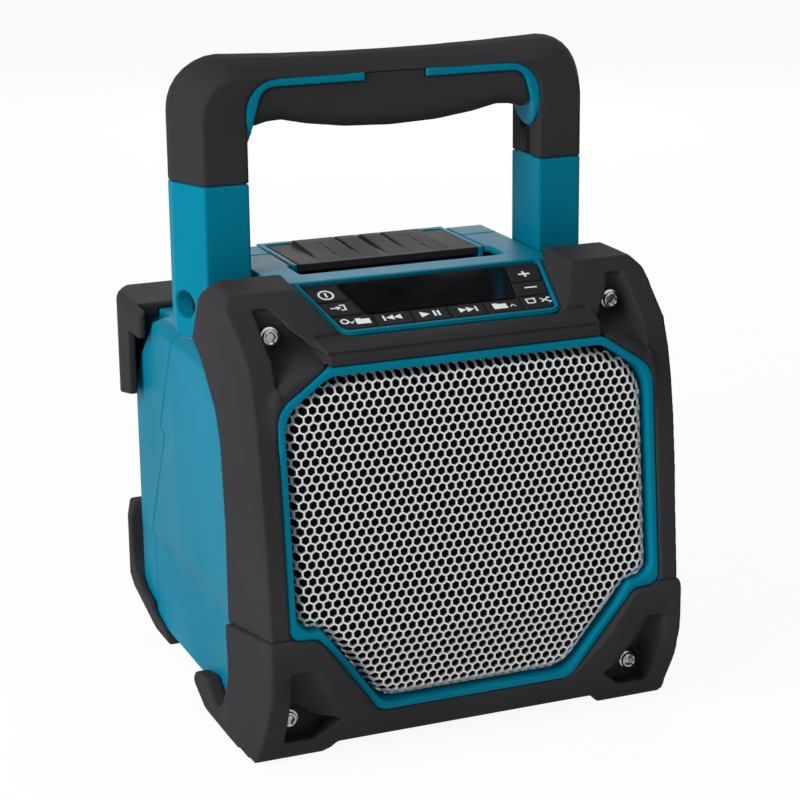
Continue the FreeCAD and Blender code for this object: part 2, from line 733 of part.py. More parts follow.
def finger_scoop():
    points = [(SCOOP_FRONT_Y, HUMP_TOP_Z + 6.0), (SCOOP_FRONT_Y, HUMP_TOP_Z), (LID_FRONT_Y - 3.0, SCOOP_LOW_Z),
              (LOCKER_FRONT_Y, SCOOP_LOW_Z), (LOCKER_FRONT_Y, HUMP_TOP_Z + 6.0)]
    return prism("x", -SCOOP_HALF, SCOOP_HALF, points)


def battery_locker():
    profile = [(LOCKER_FRONT_Y, HUMP_TOP_Z), (LOCKER_PIN_Y, LOCKER_PIN_Z + LOCKER_ROUND),
               (LOCKER_PIN_Y, LOCKER_PIN_Z - LOCKER_ROUND), (LOCKER_PIN_Y - 5.0, LOCKER_LOW_Z),
               (LOCKER_FRONT_Y + 4.0, LOCKER_LOW_Z), (LOCKER_FRONT_Y, LOCKER_LOW_Z + 1.2)]
    body = prism("x", -LOCKER_HALF, LOCKER_HALF, profile)
    body = body.fuse(rod("x", LOCKER_ROUND, -LOCKER_HALF, LOCKER_HALF, LOCKER_PIN_Y, LOCKER_PIN_Z))
    # Ribs that rise to the rear, in two blocks
    rib_side = [(LOCKER_FRONT_Y + 4.5, HUMP_TOP_Z - 1.0), (LOCKER_FRONT_Y + 4.5, HUMP_TOP_Z + 0.1),
                (LOCKER_PIN_Y - 6.0, HUMP_TOP_Z + RIB_RISE), (LOCKER_PIN_Y + 0.5, HUMP_TOP_Z + RIB_RISE),
                (LOCKER_PIN_Y + 0.5, HUMP_TOP_Z - 1.0)]
    for i in range(RIB_COUNT):
        x = 1.4 + i * RIB_PITCH
        rib = prism("x", x, x + RIB_WIDE, rib_side)
        body = body.fuse(rib).fuse(mirror(rib))
    body = body.removeSplitter()
    return body.cut(bore("x", LOCKER_PIN_R + GAP, -60.0, 60.0, LOCKER_PIN_Y, LOCKER_PIN_Z))


def locker_pin():
    return rod("x", LOCKER_PIN_R, -LOCKER_HALF - 2.6, LOCKER_HALF + 2.6, LOCKER_PIN_Y, LOCKER_PIN_Z)


def port_recess():
    return block(BODY_HALF - PORT_DEEP, BODY_HALF + 3.0, PORT_Y0, PORT_Y1, PORT_Z0, PORT_Z1)


def rear_seats(rear):
    # Screw bosses with bore and seat
    for side in (1, -1):
        for x, z in REAR_SCREWS:
            rear = rear.fuse(rod("y", REAR_BOSS_R, BODY_REAR_Y - 17.0, BODY_REAR_Y - 0.5, side * x, z, INNER_SLACK))
            rear = rear.cut(bore("y", SCREW_SHANK_R, BODY_REAR_Y - 30.0, BODY_REAR_Y + 5.0, side * x, z, INNER_SLACK))
            rear = rear.cut(bore("y", REAR_SEAT_R, BODY_REAR_Y - SCREW_RISE, BODY_REAR_Y + 5.0, side * x, z))
    return rear


def housings(body):
    wall = body.cut(inside(BODY_WALL))
    wall = wall.cut(door_region(GAP + 0.05))
    front = wall.common(seam_region(rear=False))
    rear = rear_seats(wall.common(seam_region(rear=True)))
    front = front.cut(finger_scoop())
    front = front.fuse(scoop_floor()).removeSplitter()
    front = cut(front, [woofer_cut(), tweeter_cut(), port_recess()])
    for side in (1, -1):
        for x, y, z in screw_spots():
            front = front.cut(bore("y", SCREW_SHANK_R, -40.0, 60.0, side * x, z, INNER_SLACK))
        front = front.cut(bore("x", PIN_R, side * 66.0 - 9.0, side * 66.0 + 9.0, PIVOT_Y, PIVOT_Z))
    return front, rear


def scoop_floor():
    # Floor of the finger recess in front of the locker
    top = [(SCOOP_FRONT_Y - 1.0, HUMP_TOP_Z - 0.8), (LID_FRONT_Y - 3.0, SCOOP_LOW_Z), (LID_FRONT_Y - 0.4, SCOOP_LOW_Z)]
    low = [(LID_FRONT_Y - 0.4, SCOOP_LOW_Z - 3.0), (LID_FRONT_Y - 3.0, SCOOP_LOW_Z - 3.0),
           (SCOOP_FRONT_Y - 1.0, HUMP_TOP_Z - 3.8)]
    return prism("x", -SCOOP_HALF - 2.0, SCOOP_HALF + 2.0, top + low)


# Speaker drivers, built upright at the face plane and then leaned

def depth(d):
    return FACE_FOOT_Y + d * math.cos(math.radians(FACE_LEAN))


def woofer_cut():
    return on_face(rod("y", WOOFER_CUT_R, depth(5.0), depth(30.0), 0.0, WOOFER_Z))


def tweeter_cut():
    return on_face(rod("y", TWEETER_CUT_R, depth(5.0), depth(30.0), 0.0, TWEETER_Z))


def turned(points, z, sides=20):
    # Many-sided solid about the driver axis: depth and radius pairs
    rings = []
    for d, r in points:
        if r == 0.0:
            rings.append([V(0.0, depth(d), z)])
        else:
            rings.append([V(x, depth(d), h) for x, h in ring_points(0.0, z, r, sides)])
    faces = []
    for i in range(len(rings)):
        faces += ring_band(rings[i - 1], rings[i])
    return solid_from(faces)


def ring_band(one, two):
    # Flat faces between two rings, either of which may be a single point
    faces = []
    count = max(len(one), len(two))
    if count == 1:
        return faces
    for i in range(count):
        j = (i + 1) % count
        corners = [one[i % len(one)], one[j % len(one)], two[j % len(two)], two[i % len(two)]]
        kept = [p for k, p in enumerate(corners) if (p - corners[k - 1]).Length > 1e-7]
        faces.append(Part.Face(Part.makePolygon(kept + [kept[0]])))
    return faces


def woofer():
    lip = BAFFLE_DEPTH - WOOFER_FLANGE
    basket = turned([(lip + 0.9, WOOFER_R), (lip + 0.9, 39.0), (BAFFLE_DEPTH + 6.0, 39.0), (BAFFLE_DEPTH + 24.0, 24.0),
                     (BAFFLE_DEPTH + 26.0, 24.0), (BAFFLE_DEPTH + 26.0, 16.0), (BAFFLE_DEPTH + 28.5, 16.0),
                     (BAFFLE_DEPTH + 28.5, 27.0), (BAFFLE_DEPTH + 24.0, 27.0), (BAFFLE_DEPTH + 7.0, 41.5),
                     (BAFFLE_DEPTH, 41.5), (BAFFLE_DEPTH, WOOFER_R)], WOOFER_Z)
    for i in range(6):
        window = block(-8.5, 8.5, depth(BAFFLE_DEPTH + 7.5), depth(BAFFLE_DEPTH + 22.5), WOOFER_Z + 20.0, WOOFER_Z + 60.0)
        window.rotate(V(0, 0, WOOFER_Z), V(0, 1, 0), 60.0 * i)
        basket = basket.cut(window)
    gasket = turned([(lip, WOOFER_R - 0.5), (lip, 41.5), (lip + 0.9, 41.5), (lip + 0.9, WOOFER_R - 0.5)], WOOFER_Z)
    surround = turned([(lip + 0.9, 39.0), (lip - 0.3, 37.0), (lip - 0.5, 35.5), (lip + 0.9, 32.5), (lip + 1.9, 32.5),
                       (lip + 0.8, 35.2), (lip + 1.0, 36.8), (lip + 2.0, 39.0)], WOOFER_Z)
    cone = turned([(lip + 0.9, 32.5), (lip + 17.0, 13.0), (lip + 18.0, 13.0), (lip + 1.9, 32.5)], WOOFER_Z)
    cap = dome(13.0, 5.0, 0.8, lip + 17.5, WOOFER_Z)
    coil = turned([(lip + 18.0, 12.8), (lip + 18.0, 11.6), (BAFFLE_DEPTH + 33.0, 11.6), (BAFFLE_DEPTH + 33.0, 12.8)],
                  WOOFER_Z)
    spider = turned([(lip + 22.0, 12.8), (lip + 22.8, 16.0), (lip + 21.6, 19.5), (lip + 22.4, 23.8),
                     (lip + 23.2, 23.8), (lip + 22.4, 19.5), (lip + 23.6, 16.0), (lip + 22.8, 12.8)], WOOFER_Z)
    back = BAFFLE_DEPTH + 28.5
    magnet = turned([(back, 29.0), (back, 13.4), (back + 17.0, 13.4), (back + 17.0, 0.0), (back + 20.0, 0.0),
                     (back + 20.0, 27.0), (back + 17.5, 29.0), (back + 16.5, 32.0), (back + 4.0, 32.0),
                     (back + 3.5, 29.0)], WOOFER_Z)
    pole = turned([(back + 0.5, 11.0), (back + 0.5, 0.0), (back + 17.0, 0.0), (back + 17.0, 11.0)], WOOFER_Z)
    made = [("woofer_basket", basket), ("woofer_gasket", gasket), ("woofer_surround", surround),
            ("woofer_cone", cone), ("woofer_dust_cap", cap), ("woofer_voice_coil", coil),
            ("woofer_spider", spider), ("woofer_magnet", magnet.fuse(pole).removeSplitter())]
    return [(name, on_face(shape)) for name, shape in made]


def dome(radius, rise, thick, d, z, sides=20):
    # Thin cap that bulges to the front, its rim at depth d
    ball_r = (radius * radius + rise * rise) / (2.0 * rise)
    points = []
    for share in (1.0, 0.75, 0.4, 0.0):
        r = radius * share
        points.append((d - math.sqrt(ball_r * ball_r - r * r) + ball_r - rise, r))
    inner = ball_r - thick
    rim = math.sqrt(inner * inner - (ball_r - rise) ** 2)
    for share in (0.0, 0.4, 0.75, 1.0):
        r = rim * share
        points.append((d - math.sqrt(inner * inner - r * r) + ball_r - rise, r))
    return turned(points, z, sides)


def tweeter():
    lip = BAFFLE_DEPTH - 2.0
    frame = turned([(lip, TWEETER_R), (lip, TWEETER_CUT_R - 3.5), (lip + 1.6, 8.4), (BAFFLE_DEPTH + 9.0, 8.4),
                    (BAFFLE_DEPTH + 9.0, TWEETER_CUT_R - 0.2), (BAFFLE_DEPTH, TWEETER_CUT_R - 0.2),
                    (BAFFLE_DEPTH, TWEETER_R)], TWEETER_Z)
    top = dome(8.4, 2.6, 0.6, lip + 2.2, TWEETER_Z)
    magnet = turned([(BAFFLE_DEPTH + 8.5, 11.0), (BAFFLE_DEPTH + 8.5, 0.0), (BAFFLE_DEPTH + 16.0, 0.0),
                     (BAFFLE_DEPTH + 16.0, 11.0)], TWEETER_Z)
    frame = frame.fuse(magnet).removeSplitter()
    return [("tweeter", on_face(frame)), ("tweeter_dome", on_face(top))]


# Trim ring and grille

def face_ring(amount, d):
    # Chorded outline of the trim, moved inwards, laid at a depth behind the face plane
    points, rounds = full(TRIM, TRIM_ROUND)
    points = inset(points, amount)
    ring = []
    count = len(points)
    for i in range(count):
        before, here, after = points[i - 1], points[i], points[(i + 1) % count]
        radius = rounds[i]
        if radius == 0.0:
            ring.append(here)
            continue
        bend = (here[0] - before[0]) * (after[1] - here[1]) - (here[1] - before[1]) * (after[0] - here[0])
        radius = radius - amount if bend < 0 else radius + amount
        ring += chords(before, here, after, max(radius, 2.0), CHORDS)
    out = []
    for i in range(len(ring)):
        a, b = ring[i - 1], ring[i]
        if (a[1] - FACE_FOOT_Z) * (b[1] - FACE_FOOT_Z) < -1e-9:
            share = (FACE_FOOT_Z - a[1]) / (b[1] - a[1])
            out.append((a[0] + share * (b[0] - a[0]), FACE_FOOT_Z))
        out.append(b)
    return [V(x, face_y(z) + d, z) for x, z in out]


def flat_faces(ring):
    # Closes a ring with one face on the leaning plane and one on the chin plane
    upper = [p for p in ring if p.z > FACE_FOOT_Z - 1e-6]
    lower = [p for p in ring if p.z < FACE_FOOT_Z + 1e-6]
    faces = []
    for part in (upper, order_ring(lower)):
        faces.append(Part.Face(Part.makePolygon(part + [part[0]])))
    return faces


def order_ring(points):
    middle = sum(p.x for p in points) / len(points), sum(p.z for p in points) / len(points)
    return sorted(points, key=lambda p: math.atan2(p.z - middle[1], p.x - middle[0]))


def band_faces(one, two):
    faces = []
    count = len(one)
    for i in range(count):
        j = (i + 1) % count
        for tri in ((one[i], one[j], two[j]), (one[i], two[j], two[i])):
            if (tri[1] - tri[0]).cross(tri[2] - tri[0]).Length > 1e-7:
                faces.append(Part.Face(Part.makePolygon([tri[0], tri[1], tri[2], tri[0]])))
    return faces


def dish(rings):
    # Closed solid between stacked rings, the first and the last one closed with flat faces
    faces = flat_faces(rings[0]) + flat_faces(rings[-1])
    for one, two in zip(rings, rings[1:]):
        faces += band_faces(one, two)
    return solid_from(faces)


def grille():
    deep = GRILLE_TURN + GRILLE_SUNK
    outer = dish([face_ring(GRILLE_INSET + 8.0, GRILLE_SUNK), face_ring(GRILLE_INSET + 3.4, GRILLE_SUNK + 1.7),
                  face_ring(GRILLE_INSET, deep), face_ring(GRILLE_INSET, deep + GRILLE_SHEET + 3.0)])
    t = GRILLE_SHEET
    inner = dish([face_ring(GRILLE_INSET + 8.6, GRILLE_SUNK + t), face_ring(GRILLE_INSET + 4.4, GRILLE_SUNK + 1.7 + t),
                  face_ring(GRILLE_INSET + 1.3, deep + t * 0.5), face_ring(GRILLE_INSET + 1.3, deep + 9.0)])
    sheet = outer.cut(inner)
    holes = []
    flat = inset(full(TRIM, TRIM_ROUND)[0], GRILLE_INSET + 9.0 + HOLE_FLATS * 0.5)
    rows = int(150.0 / (HOLE_PITCH * 0.866))
    for row in range(-1, rows + 1):
        z = 34.0 + row * HOLE_PITCH * 0.8660254
        for col in range(-8, 9):
            x = (col + 0.5 * (row % 2)) * HOLE_PITCH
            if within(flat, x, z):
                holes.append(hexagon(x, z))
    return sheet.cut(Part.makeCompound(holes))


def within(points, x, z):
    hit = False
    for i in range(len(points)):
        (x1, z1), (x2, z2) = points[i - 1], points[i]
        if (z1 > z) != (z2 > z) and x < (x2 - x1) * (z - z1) / (z2 - z1) + x1:
            hit = not hit
    return hit


def hexagon(x, z):
    r = HOLE_FLATS / math.sqrt(3.0)
    points = [(x + r * math.sin(math.radians(60.0 * k)), z + r * math.cos(math.radians(60.0 * k))) for k in range(6)]
    return prism("y", FACE_FOOT_Y - 20.0, FACE_TOP_Y + 20.0, points)


def grille_trim():
    ring = dish([face_ring(0.6, 0.0), face_ring(0.0, 0.6), face_ring(0.0, BAFFLE_DEPTH)])
    hollow = dish([face_ring(TRIM_FLAT, -2.0), face_ring(TRIM_FLAT, 0.4), face_ring(GRILLE_INSET - 0.1, TRIM_DEPTH * 0.8),
                   face_ring(GRILLE_INSET - 0.1, BAFFLE_DEPTH + 2.0)])
    return ring.cut(hollow)


# Handle

def bow_ring(y, half, top, radius):
    # One outline of the handle, from the lower right corner over the top to the left
    low = PIVOT_Z - POST_END_R - 1.0
    right = [(half, low)]
    for k in range(BOW_CHORDS + 1):
        turn = math.radians(90.0 * k / BOW_CHORDS)
        right.append((half - radius + radius * math.cos(turn), top - radius + radius * math.sin(turn)))
    flat = half - radius
    for share in (0.66, 0.33):
        right.append((flat * share, top - TOP_DIP * (1.0 - share * share)))
    left = [(-x, z) for x, z in reversed(right)]
    middle = [(0.0, top - TOP_DIP)]
    return [V(x, y, z) for x, z in right + middle + left]


def handle_envelope():
    rings = [bow_ring(*bow) for bow in BOWS]
    faces = flat_cap(rings[0]) + flat_cap(rings[-1])
    for one, two in zip(rings, rings[1:]):
        faces += band_faces(one, two)
    side = fuse([rod("x", POST_END_R, -120.0, 120.0, PIVOT_Y, PIVOT_Z),
                 block(-120, 120, POST_FRONT_Y, POST_REAR_Y, PIVOT_Z, 320.0)])
    return solid_from(faces).common(side)


def strip_outer(grow=0.0):
    half = POST_IN + 0.5 + grow
    top = STRIP_TOP_Z + grow
    return prism("y", 60.0, 120.0, [(half, 150.0), (half, top), (-half, top), (-half, 150.0)],
                 [0.0, STRIP_CORNER_R + grow, STRIP_CORNER_R + grow, 0.0])


def opening():
    top = STRIP_TOP_Z - STRIP_WIDE
    right = [(POST_IN, 150.0), (POST_IN, 250.0), (68.0, 265.0), (62.8, top)]
    left = [(-x, z) for x, z in reversed(right)]
    return prism("y", 60.0, 120.0, right + left, [0.0, 30.0, 30.0, 7.0, 7.0, 30.0, 30.0, 0.0])


def grip_ring(x, low):
    # Cross-section of the grip with its two lower edges rounded
    top = STRIP_TOP_Z - 1.0
    points = [(GRIP_FRONT_Y, top), (GRIP_FRONT_Y, low), (GRIP_REAR_Y, low), (GRIP_REAR_Y, top)]
    ring = [points[0]]
    ring += chords(points[0], points[1], points[2], GRIP_ROUND, GRIP_CHORDS)
    ring += chords(points[1], points[2], points[3], GRIP_ROUND, GRIP_CHORDS)
    ring.append(points[3])
    return [V(x, y, z) for y, z in ring]


def palm_grip(hole):
    stations = GRIP_LOW + [(-x, z) for x, z in reversed(GRIP_LOW[:-1])]
    rings = [grip_ring(x, z) for x, z in stations]
    faces = flat_cap(rings[0]) + flat_cap(rings[-1])
    for one, two in zip(rings, rings[1:]):
        faces += ring_band(one, two)
    bar = solid_from(faces).common(hole)
    bridge = block(-STRIP_END_X, STRIP_END_X, STRIP_FRONT_Y + 1.0, BEAM_FRONT_Y - 0.5, STRIP_TOP_Z - 8.0, STRIP_TOP_Z)
    return bar.fuse(bridge).removeSplitter()


def handle_parts():
    envelope = handle_envelope()
    hole = opening()
    outline = strip_outer()
    lower = envelope.common(block(-120, 120, 60, 120, 150.0, JOINT_Z))
    lower = lower.cut(hole)
    strip = outline.cut(hole).common(block(-120, 120, STRIP_FRONT_Y, STRIP_REAR_Y, JOINT_Z, 300.0))
    strip = strip.cut(block(-STRIP_END_X, STRIP_END_X, 60.0, BEAM_FRONT_Y, 270.0, 300.0))
    tongue = rod("x", (STRIP_REAR_Y - STRIP_FRONT_Y) / 2.0, 60.0, 80.0, (STRIP_REAR_Y + STRIP_FRONT_Y) / 2.0,
                 TONGUE_Z + (STRIP_REAR_Y - STRIP_FRONT_Y) / 2.0)
    above = block(60.0, 80.0, 60.0, 120.0, TONGUE_Z + (STRIP_REAR_Y - STRIP_FRONT_Y) / 2.0, 300.0)
    keep = tongue.fuse(above)
    keep = fuse([keep, mirror(keep), block(-61.0, 61.0, 60.0, 120.0, 270.0, 300.0)])
    strip = strip.common(keep)
    beam = strip_outer(BEAM_WIDE).cut(strip_outer(-0.2)).common(
        block(-120, 120, BEAM_FRONT_Y, BEAM_REAR_Y, JOINT_Z - 2.0, 300.0))
    core = fuse([lower, strip, beam])
    hole_pin = bore("x", PIN_R + GAP, -120.0, 120.0, PIVOT_Y, PIVOT_Z)
    outer_x = 97.0
    deep = rod("x", HOLE_R, outer_x - HOLE_DEEP, 120.0, PIVOT_Y, PIVOT_Z)
    core = cut(core, [hole_pin, deep, mirror(deep)])
    # Small step under the soft shell
    shell = envelope.common(block(-120, 120, 60, 120, JOINT_Z, 320.0))
    shell = shell.cut(outline_with_post(hole)).cut(core)
    grip = palm_grip(hole)
    shell = shell.cut(grip)
    grip = grip.cut(core)
    return core, shell, grip


def outline_with_post(hole):
    # Space that belongs to the opening side of the shell: the strip shows from the front
    low = block(-POST_IN, POST_IN, 60.0, 120.0, 150.0, 270.0)
    turn_z = TONGUE_Z + (STRIP_REAR_Y - STRIP_FRONT_Y) / 2.0
    high = strip_outer().common(block(-120.0, 120.0, 60.0, STRIP_REAR_Y, turn_z, 300.0))
    return fuse([low, high, hole])


def pivot_pins():
    pin = rod("x", PIN_R, 60.0, 90.5, PIVOT_Y, PIVOT_Z)
    cap = rod("x", HOLE_R - 0.6, 90.5, 92.5, PIVOT_Y, PIVOT_Z)
    slot = block(92.0, 93.0, PIVOT_Y - 0.6, PIVOT_Y + 0.6, PIVOT_Z - 4.0, PIVOT_Z + 4.0)
    pin = pin.fuse(cap).removeSplitter().cut(slot)
    return both(pin)


def friction_washers():
    ring = rod("x", 10.0, HUMP_HALF, POST_IN - GAP, PIVOT_Y, PIVOT_Z, INNER_SLACK)
    ring = ring.cut(bore("x", PIN_R, 60.0, 80.0, PIVOT_Y, PIVOT_Z))
    return both(ring)


# Control panel

def side_half(u):
    # Half width of the dark area inside the bezel
    return 50.2 + (57.9 - 50.2) * (u - 3.0) / 37.5


def display_half(u):
    return DISPLAY_LOW_HALF + (DISPLAY_TOP_HALF - DISPLAY_LOW_HALF) * (u - DISPLAY_LOW_U) / (
        DISPLAY_TOP_U - DISPLAY_LOW_U)


def dark_area():
    return [(-side_half(2.4), 2.4), (side_half(2.4), 2.4), (side_half(40.8), 40.8), (-side_half(40.8), 40.8)]


def control_bezel():
    outline = [(-PANEL_LOW_HALF, 0.0), (PANEL_LOW_HALF, 0.0), (PANEL_TOP_HALF, PANEL_LONG), (-PANEL_TOP_HALF, PANEL_LONG)]
    ring = prism("z", -PANEL_STACK, 0.0, outline, [6.0, 6.0, 2.0, 2.0])
    rim = prism("z", 0.0, BEZEL_PROUD, [(-51.0, 0.8), (51.0, 0.8), (59.3, 41.6), (-59.3, 41.6)], [5.0, 5.0, 1.5, 1.5])
    hollow = prism("z", -PANEL_STACK - 1.0, 5.0, dark_area(), [4.0, 4.0, 1.5, 1.5])
    return on_panel(ring.fuse(rim).removeSplitter().cut(hollow))


def button_outline(name, grow):
    # Cells of the keypad as X and U corners; grow widens them for the plate
    u0, u1 = ROW_LOW_U - grow, ROW_TOP_U + grow
    inner = 0.6
    if name == "pair":
        return [(-side_half(u0) + inner - grow, u0), (ROW_SPLITS[0] - inner + grow, u0),
                (ROW_SPLITS[0] - inner + grow, u1), (-side_half(u1) + inner - grow, u1)]
    if name == "repeat":
        return [(ROW_SPLITS[4] + inner - grow, u0), (side_half(u0) - inner + grow, u0),
                (side_half(u1) - inner + grow, u1), (ROW_SPLITS[4] + inner - grow, u1)]
    row = {"previous": 0, "play": 1, "next": 2, "folder_up": 3}
    if name in row:
        a, b = ROW_SPLITS[row[name]] + inner - grow, ROW_SPLITS[row[name] + 1] - inner + grow
        return [(a, u0), (b, u0), (b, u1), (a, u1)]
    low, high = {"source": (SIDE_SPLITS[0], SIDE_SPLITS[1] - 0.6), "minus": (SIDE_SPLITS[0], SIDE_SPLITS[1] - 0.6),
                 "power": (SIDE_SPLITS[1] + 0.6, 37.2), "plus": (SIDE_SPLITS[1] + 0.6, 37.2)}[name]
    low, high = low - grow, high + grow
    quad = [(display_half(low) + inner + 0.4 - grow, low), (side_half(low) - inner + grow, low),
            (side_half(high) - inner + grow, high), (display_half(high) + inner + 0.4 - grow, high)]
    if name in ("source", "power"):
        quad = [(-x, u) for x, u in reversed(quad)]
    return quad


BUTTONS = ["power", "source", "pair", "previous", "play", "next", "folder_up", "repeat", "minus", "plus"]


def button(name):
    cap = prism("z", KEYPAD_TOP - BUTTON_HIGH, KEYPAD_TOP + BUTTON_PROUD - 0.3, button_outline(name, 0.0), [1.0] * 4)
    crown = prism("z", KEYPAD_TOP, KEYPAD_TOP + BUTTON_PROUD, button_outline(name, -0.5), [0.8] * 4)
    return on_panel(cap.fuse(crown).removeSplitter())


def keypad_plate():
    plate = prism("z", KEYPAD_TOP - KEYPAD_THICK, KEYPAD_TOP, dark_area(), [4.0, 4.0, 1.5, 1.5])
    for name in BUTTONS:
        plate = plate.cut(prism("z", -9.0, 5.0, button_outline(name, BUTTON_GAP), [1.3] * 4))
    plate = plate.cut(module_space())
    return on_panel(plate)


def module_space():
    return block(-30.0, 30.0, 18.0, 34.0, KEYPAD_TOP - KEYPAD_THICK - 1.0, KEYPAD_TOP)


def display_window():
    outline = [(-DISPLAY_LOW_HALF, DISPLAY_LOW_U), (DISPLAY_LOW_HALF, DISPLAY_LOW_U),
               (DISPLAY_TOP_HALF, DISPLAY_TOP_U), (-DISPLAY_TOP_HALF, DISPLAY_TOP_U)]
    return on_panel(prism("z", KEYPAD_TOP, KEYPAD_TOP + DISPLAY_PROUD, outline, [0.8] * 4))


def keypad_mat():
    # Rubber domes joined by a thin mat under the buttons
    low = -PANEL_STACK + BOARD_THICK
    sheet = prism("z", low, low + 0.4, dark_area(), [4.0, 4.0, 1.5, 1.5])
    domes = [sheet]
    for name in BUTTONS:
        quad = button_outline(name, 0.0)
        x = sum(p[0] for p in quad) / 4.0
        u = sum(p[1] for p in quad) / 4.0
        domes.append(prism("z", low + 0.3, low + 0.9, ring_points(x, u, 2.2, 6)))
    return on_panel(fuse(domes))


def switch_board():
    board = prism("z", -PANEL_STACK, -PANEL_STACK + BOARD_THICK, dark_area(), [4.0, 4.0, 1.5, 1.5])
    return on_panel(board)


def display_module():
    return on_panel(block(-30.0, 30.0, 18.0, 34.0, -PANEL_STACK + BOARD_THICK + 0.4, KEYPAD_TOP))


# Rear bumpers

def rear_cap(body):
    outer = [(CAP_HALF, 182.0), (101.5, 188.7), (94.9, 200.4), (88.0, REAR_Y), (CAP_INNER_X, REAR_Y)]
    plate_plan = [(CAP_INNER_X + 4.0, CAP_FRONT_Y), (CAP_HALF, CAP_FRONT_Y)] + outer
    plate = prism("z", CAP_PLATE_Z, CAP_TOP_Z, plate_plan, [0.0, 0.0, 4.0, 5.0, 5.0, 4.0, 3.0])
    inner_x = CAP_HALF - CAP_BAND_WIDE
    band_plan = [(inner_x, CAP_BAND_Y), (CAP_HALF, CAP_BAND_Y)] + outer + [
        (CAP_INNER_X, BODY_REAR_Y - 8.0), (86.0, BODY_REAR_Y - 8.0), (92.0, BODY_REAR_Y - 3.0), (inner_x, 181.0)]
    band = prism("z", 110.0, CAP_TOP_Z, band_plan, [0.0, 0.0, 4.0, 5.0, 5.0, 4.0, 3.0, 0.0, 0.0, 3.0, 3.0])
    tab = prism("z", CAP_TAB_LOW_Z, CAP_TOP_Z, [(inner_x, CAP_TAB_Y), (CAP_HALF - 0.6, CAP_TAB_Y), (CAP_HALF, CAP_TAB_Y + 2.0),
                                                (CAP_HALF, CAP_BAND_Y + 3.0), (inner_x, CAP_BAND_Y + 3.0)])
    low_side = [(140.0, 240.0), (140.0, CAP_TAB_LOW_Z), (158.0, CAP_TAB_LOW_Z), (CAP_BAND_Y, 148.0),
                (CAP_BAND_Y, CAP_LOW_Z), (200.0, 118.0), (REAR_Y + 1.0, 122.0), (REAR_Y + 1.0, CAP_TOP_Z - 20.0),
                (REAR_Y - 2.0, CAP_TOP_Z - 5.0), (REAR_Y - 5.0, CAP_TOP_Z + 0.2), (REAR_Y - 5.0, 240.0)]
    shape = fuse([plate, band, tab]).common(prism("x", 50.0, 120.0, low_side))
    crest = [(50.0, 100.0), (CAP_HALF + 1.0, 100.0), (CAP_HALF + 1.0, CAP_TOP_Z - 3.6), (CAP_HALF - 3.2, CAP_TOP_Z + 0.1),
             (50.0, CAP_TOP_Z + 0.1)]
    shape = shape.common(prism("y", 100.0, 230.0, crest))
    return shape.cut(body).removeSplitter()


def heel(body):
    profile = [(146.0, 0.0), (HEEL_SOLE_END_Y, 0.0), (186.0, 14.0), (198.0, 22.5), (REAR_Y, 31.0), (REAR_Y, 54.0),
               (203.0, HEEL_TOP_Z), (192.3, HEEL_TOP_Z), (190.7, 34.0), (185.5, 26.0), (176.3, 20.5), (162.1, 17.5),
               (161.4, 13.2), (146.0, 9.6)]
    rounds = [1.5, 8.0, 8.0, 8.0, 8.0, 5.0, 3.0, 2.0, 6.0, 6.0, 6.0, 1.5, 1.5, 1.5]
    shape = prism("x", CAP_INNER_X, 120.0, profile, rounds)
    front = [(50.0, -1.0), (HEEL_FOOT_HALF, -1.0), (HEEL_FOOT_HALF, 0.0), (HEEL_HALF, 17.0), (HEEL_HALF, 53.0),
             (HEEL_HALF - 3.0, HEEL_TOP_Z + 0.5), (50.0, HEEL_TOP_Z + 0.5)]
    shape = shape.common(prism("y", 100.0, 230.0, front))
    plan = [(50.0, 100.0), (120.0, 100.0), (120.0, 196.0), (99.0, 196.0), (93.5, 205.0), (87.0, REAR_Y + 1.0),
            (50.0, REAR_Y + 1.0)]
    shape = shape.common(prism("z", -1.0, 90.0, plan))
    # Only the outer skin: the sole reaches under the body, the wall stands beside and behind it
    shape = shape.cut(block(50.0, 84.0, 100.0, BODY_REAR_Y - 16.0, -2.0, 90.0))
    return shape.cut(body).removeSplitter()


# Battery bay

def bay_liner():
    tub = block(-BAY_HALF - BAY_WALL, BAY_HALF + BAY_WALL, BAY_FRONT_Y - BAY_WALL, LINER_REAR_Y,
                BAY_LOW_Z - BAY_WALL, BAY_TOP_Z + BAY_WALL)
    flange = block(-DOOR_HALF - 2.0, DOOR_HALF + 2.0, LINER_REAR_Y - 2.4, LINER_REAR_Y, DOOR_LOW_Z - 2.0,
                   BAY_TOP_Z + BAY_WALL + 1.5)
    roof_line = [(66.0, 189.6), (129.5, 189.6), (163.5, 162.0), (LINER_REAR_Y, 162.0), (LINER_REAR_Y, 159.6),
                 (162.6, 159.6), (128.5, 187.2), (66.0, 187.2)]
    roof = prism("x", -LID_HALF - 4.0, LID_HALF + 4.0, roof_line)
    rails = []
    for side in (1, -1):
        rails.append(block(side * 33.0 - 1.5, side * 33.0 + 1.5, BAY_FRONT_Y + 6.0, LINER_REAR_Y - 8.0,
                           BAY_TOP_Z - 5.0, BAY_TOP_Z + 0.5))
    hollow = block(-BAY_HALF, BAY_HALF, BAY_FRONT_Y, 230.0, BAY_LOW_Z, BAY_TOP_Z)
    liner = fuse([tub, flange, roof]).common(inside(DOOR_THICK + 0.4)).cut(hollow)
    liner = liner.cut(hinge_room())
    legs = []
    for side in (1, -1):
        legs.append(block(side * 38.0 - 1.5, side * 38.0 + 1.5, 162.5, 175.0, BODY_BOTTOM_Z + BODY_WALL, BAY_LOW_Z - 0.5))
    return fuse([liner] + rails + board_posts() + legs)


def hinge_room():
    # Space that the lower edge of the door sweeps
    return bore("x", HINGE_ROOM_R, -DOOR_HALF - 6.0, DOOR_HALF + 6.0, DOOR_PIN_Y, DOOR_PIN_Z)


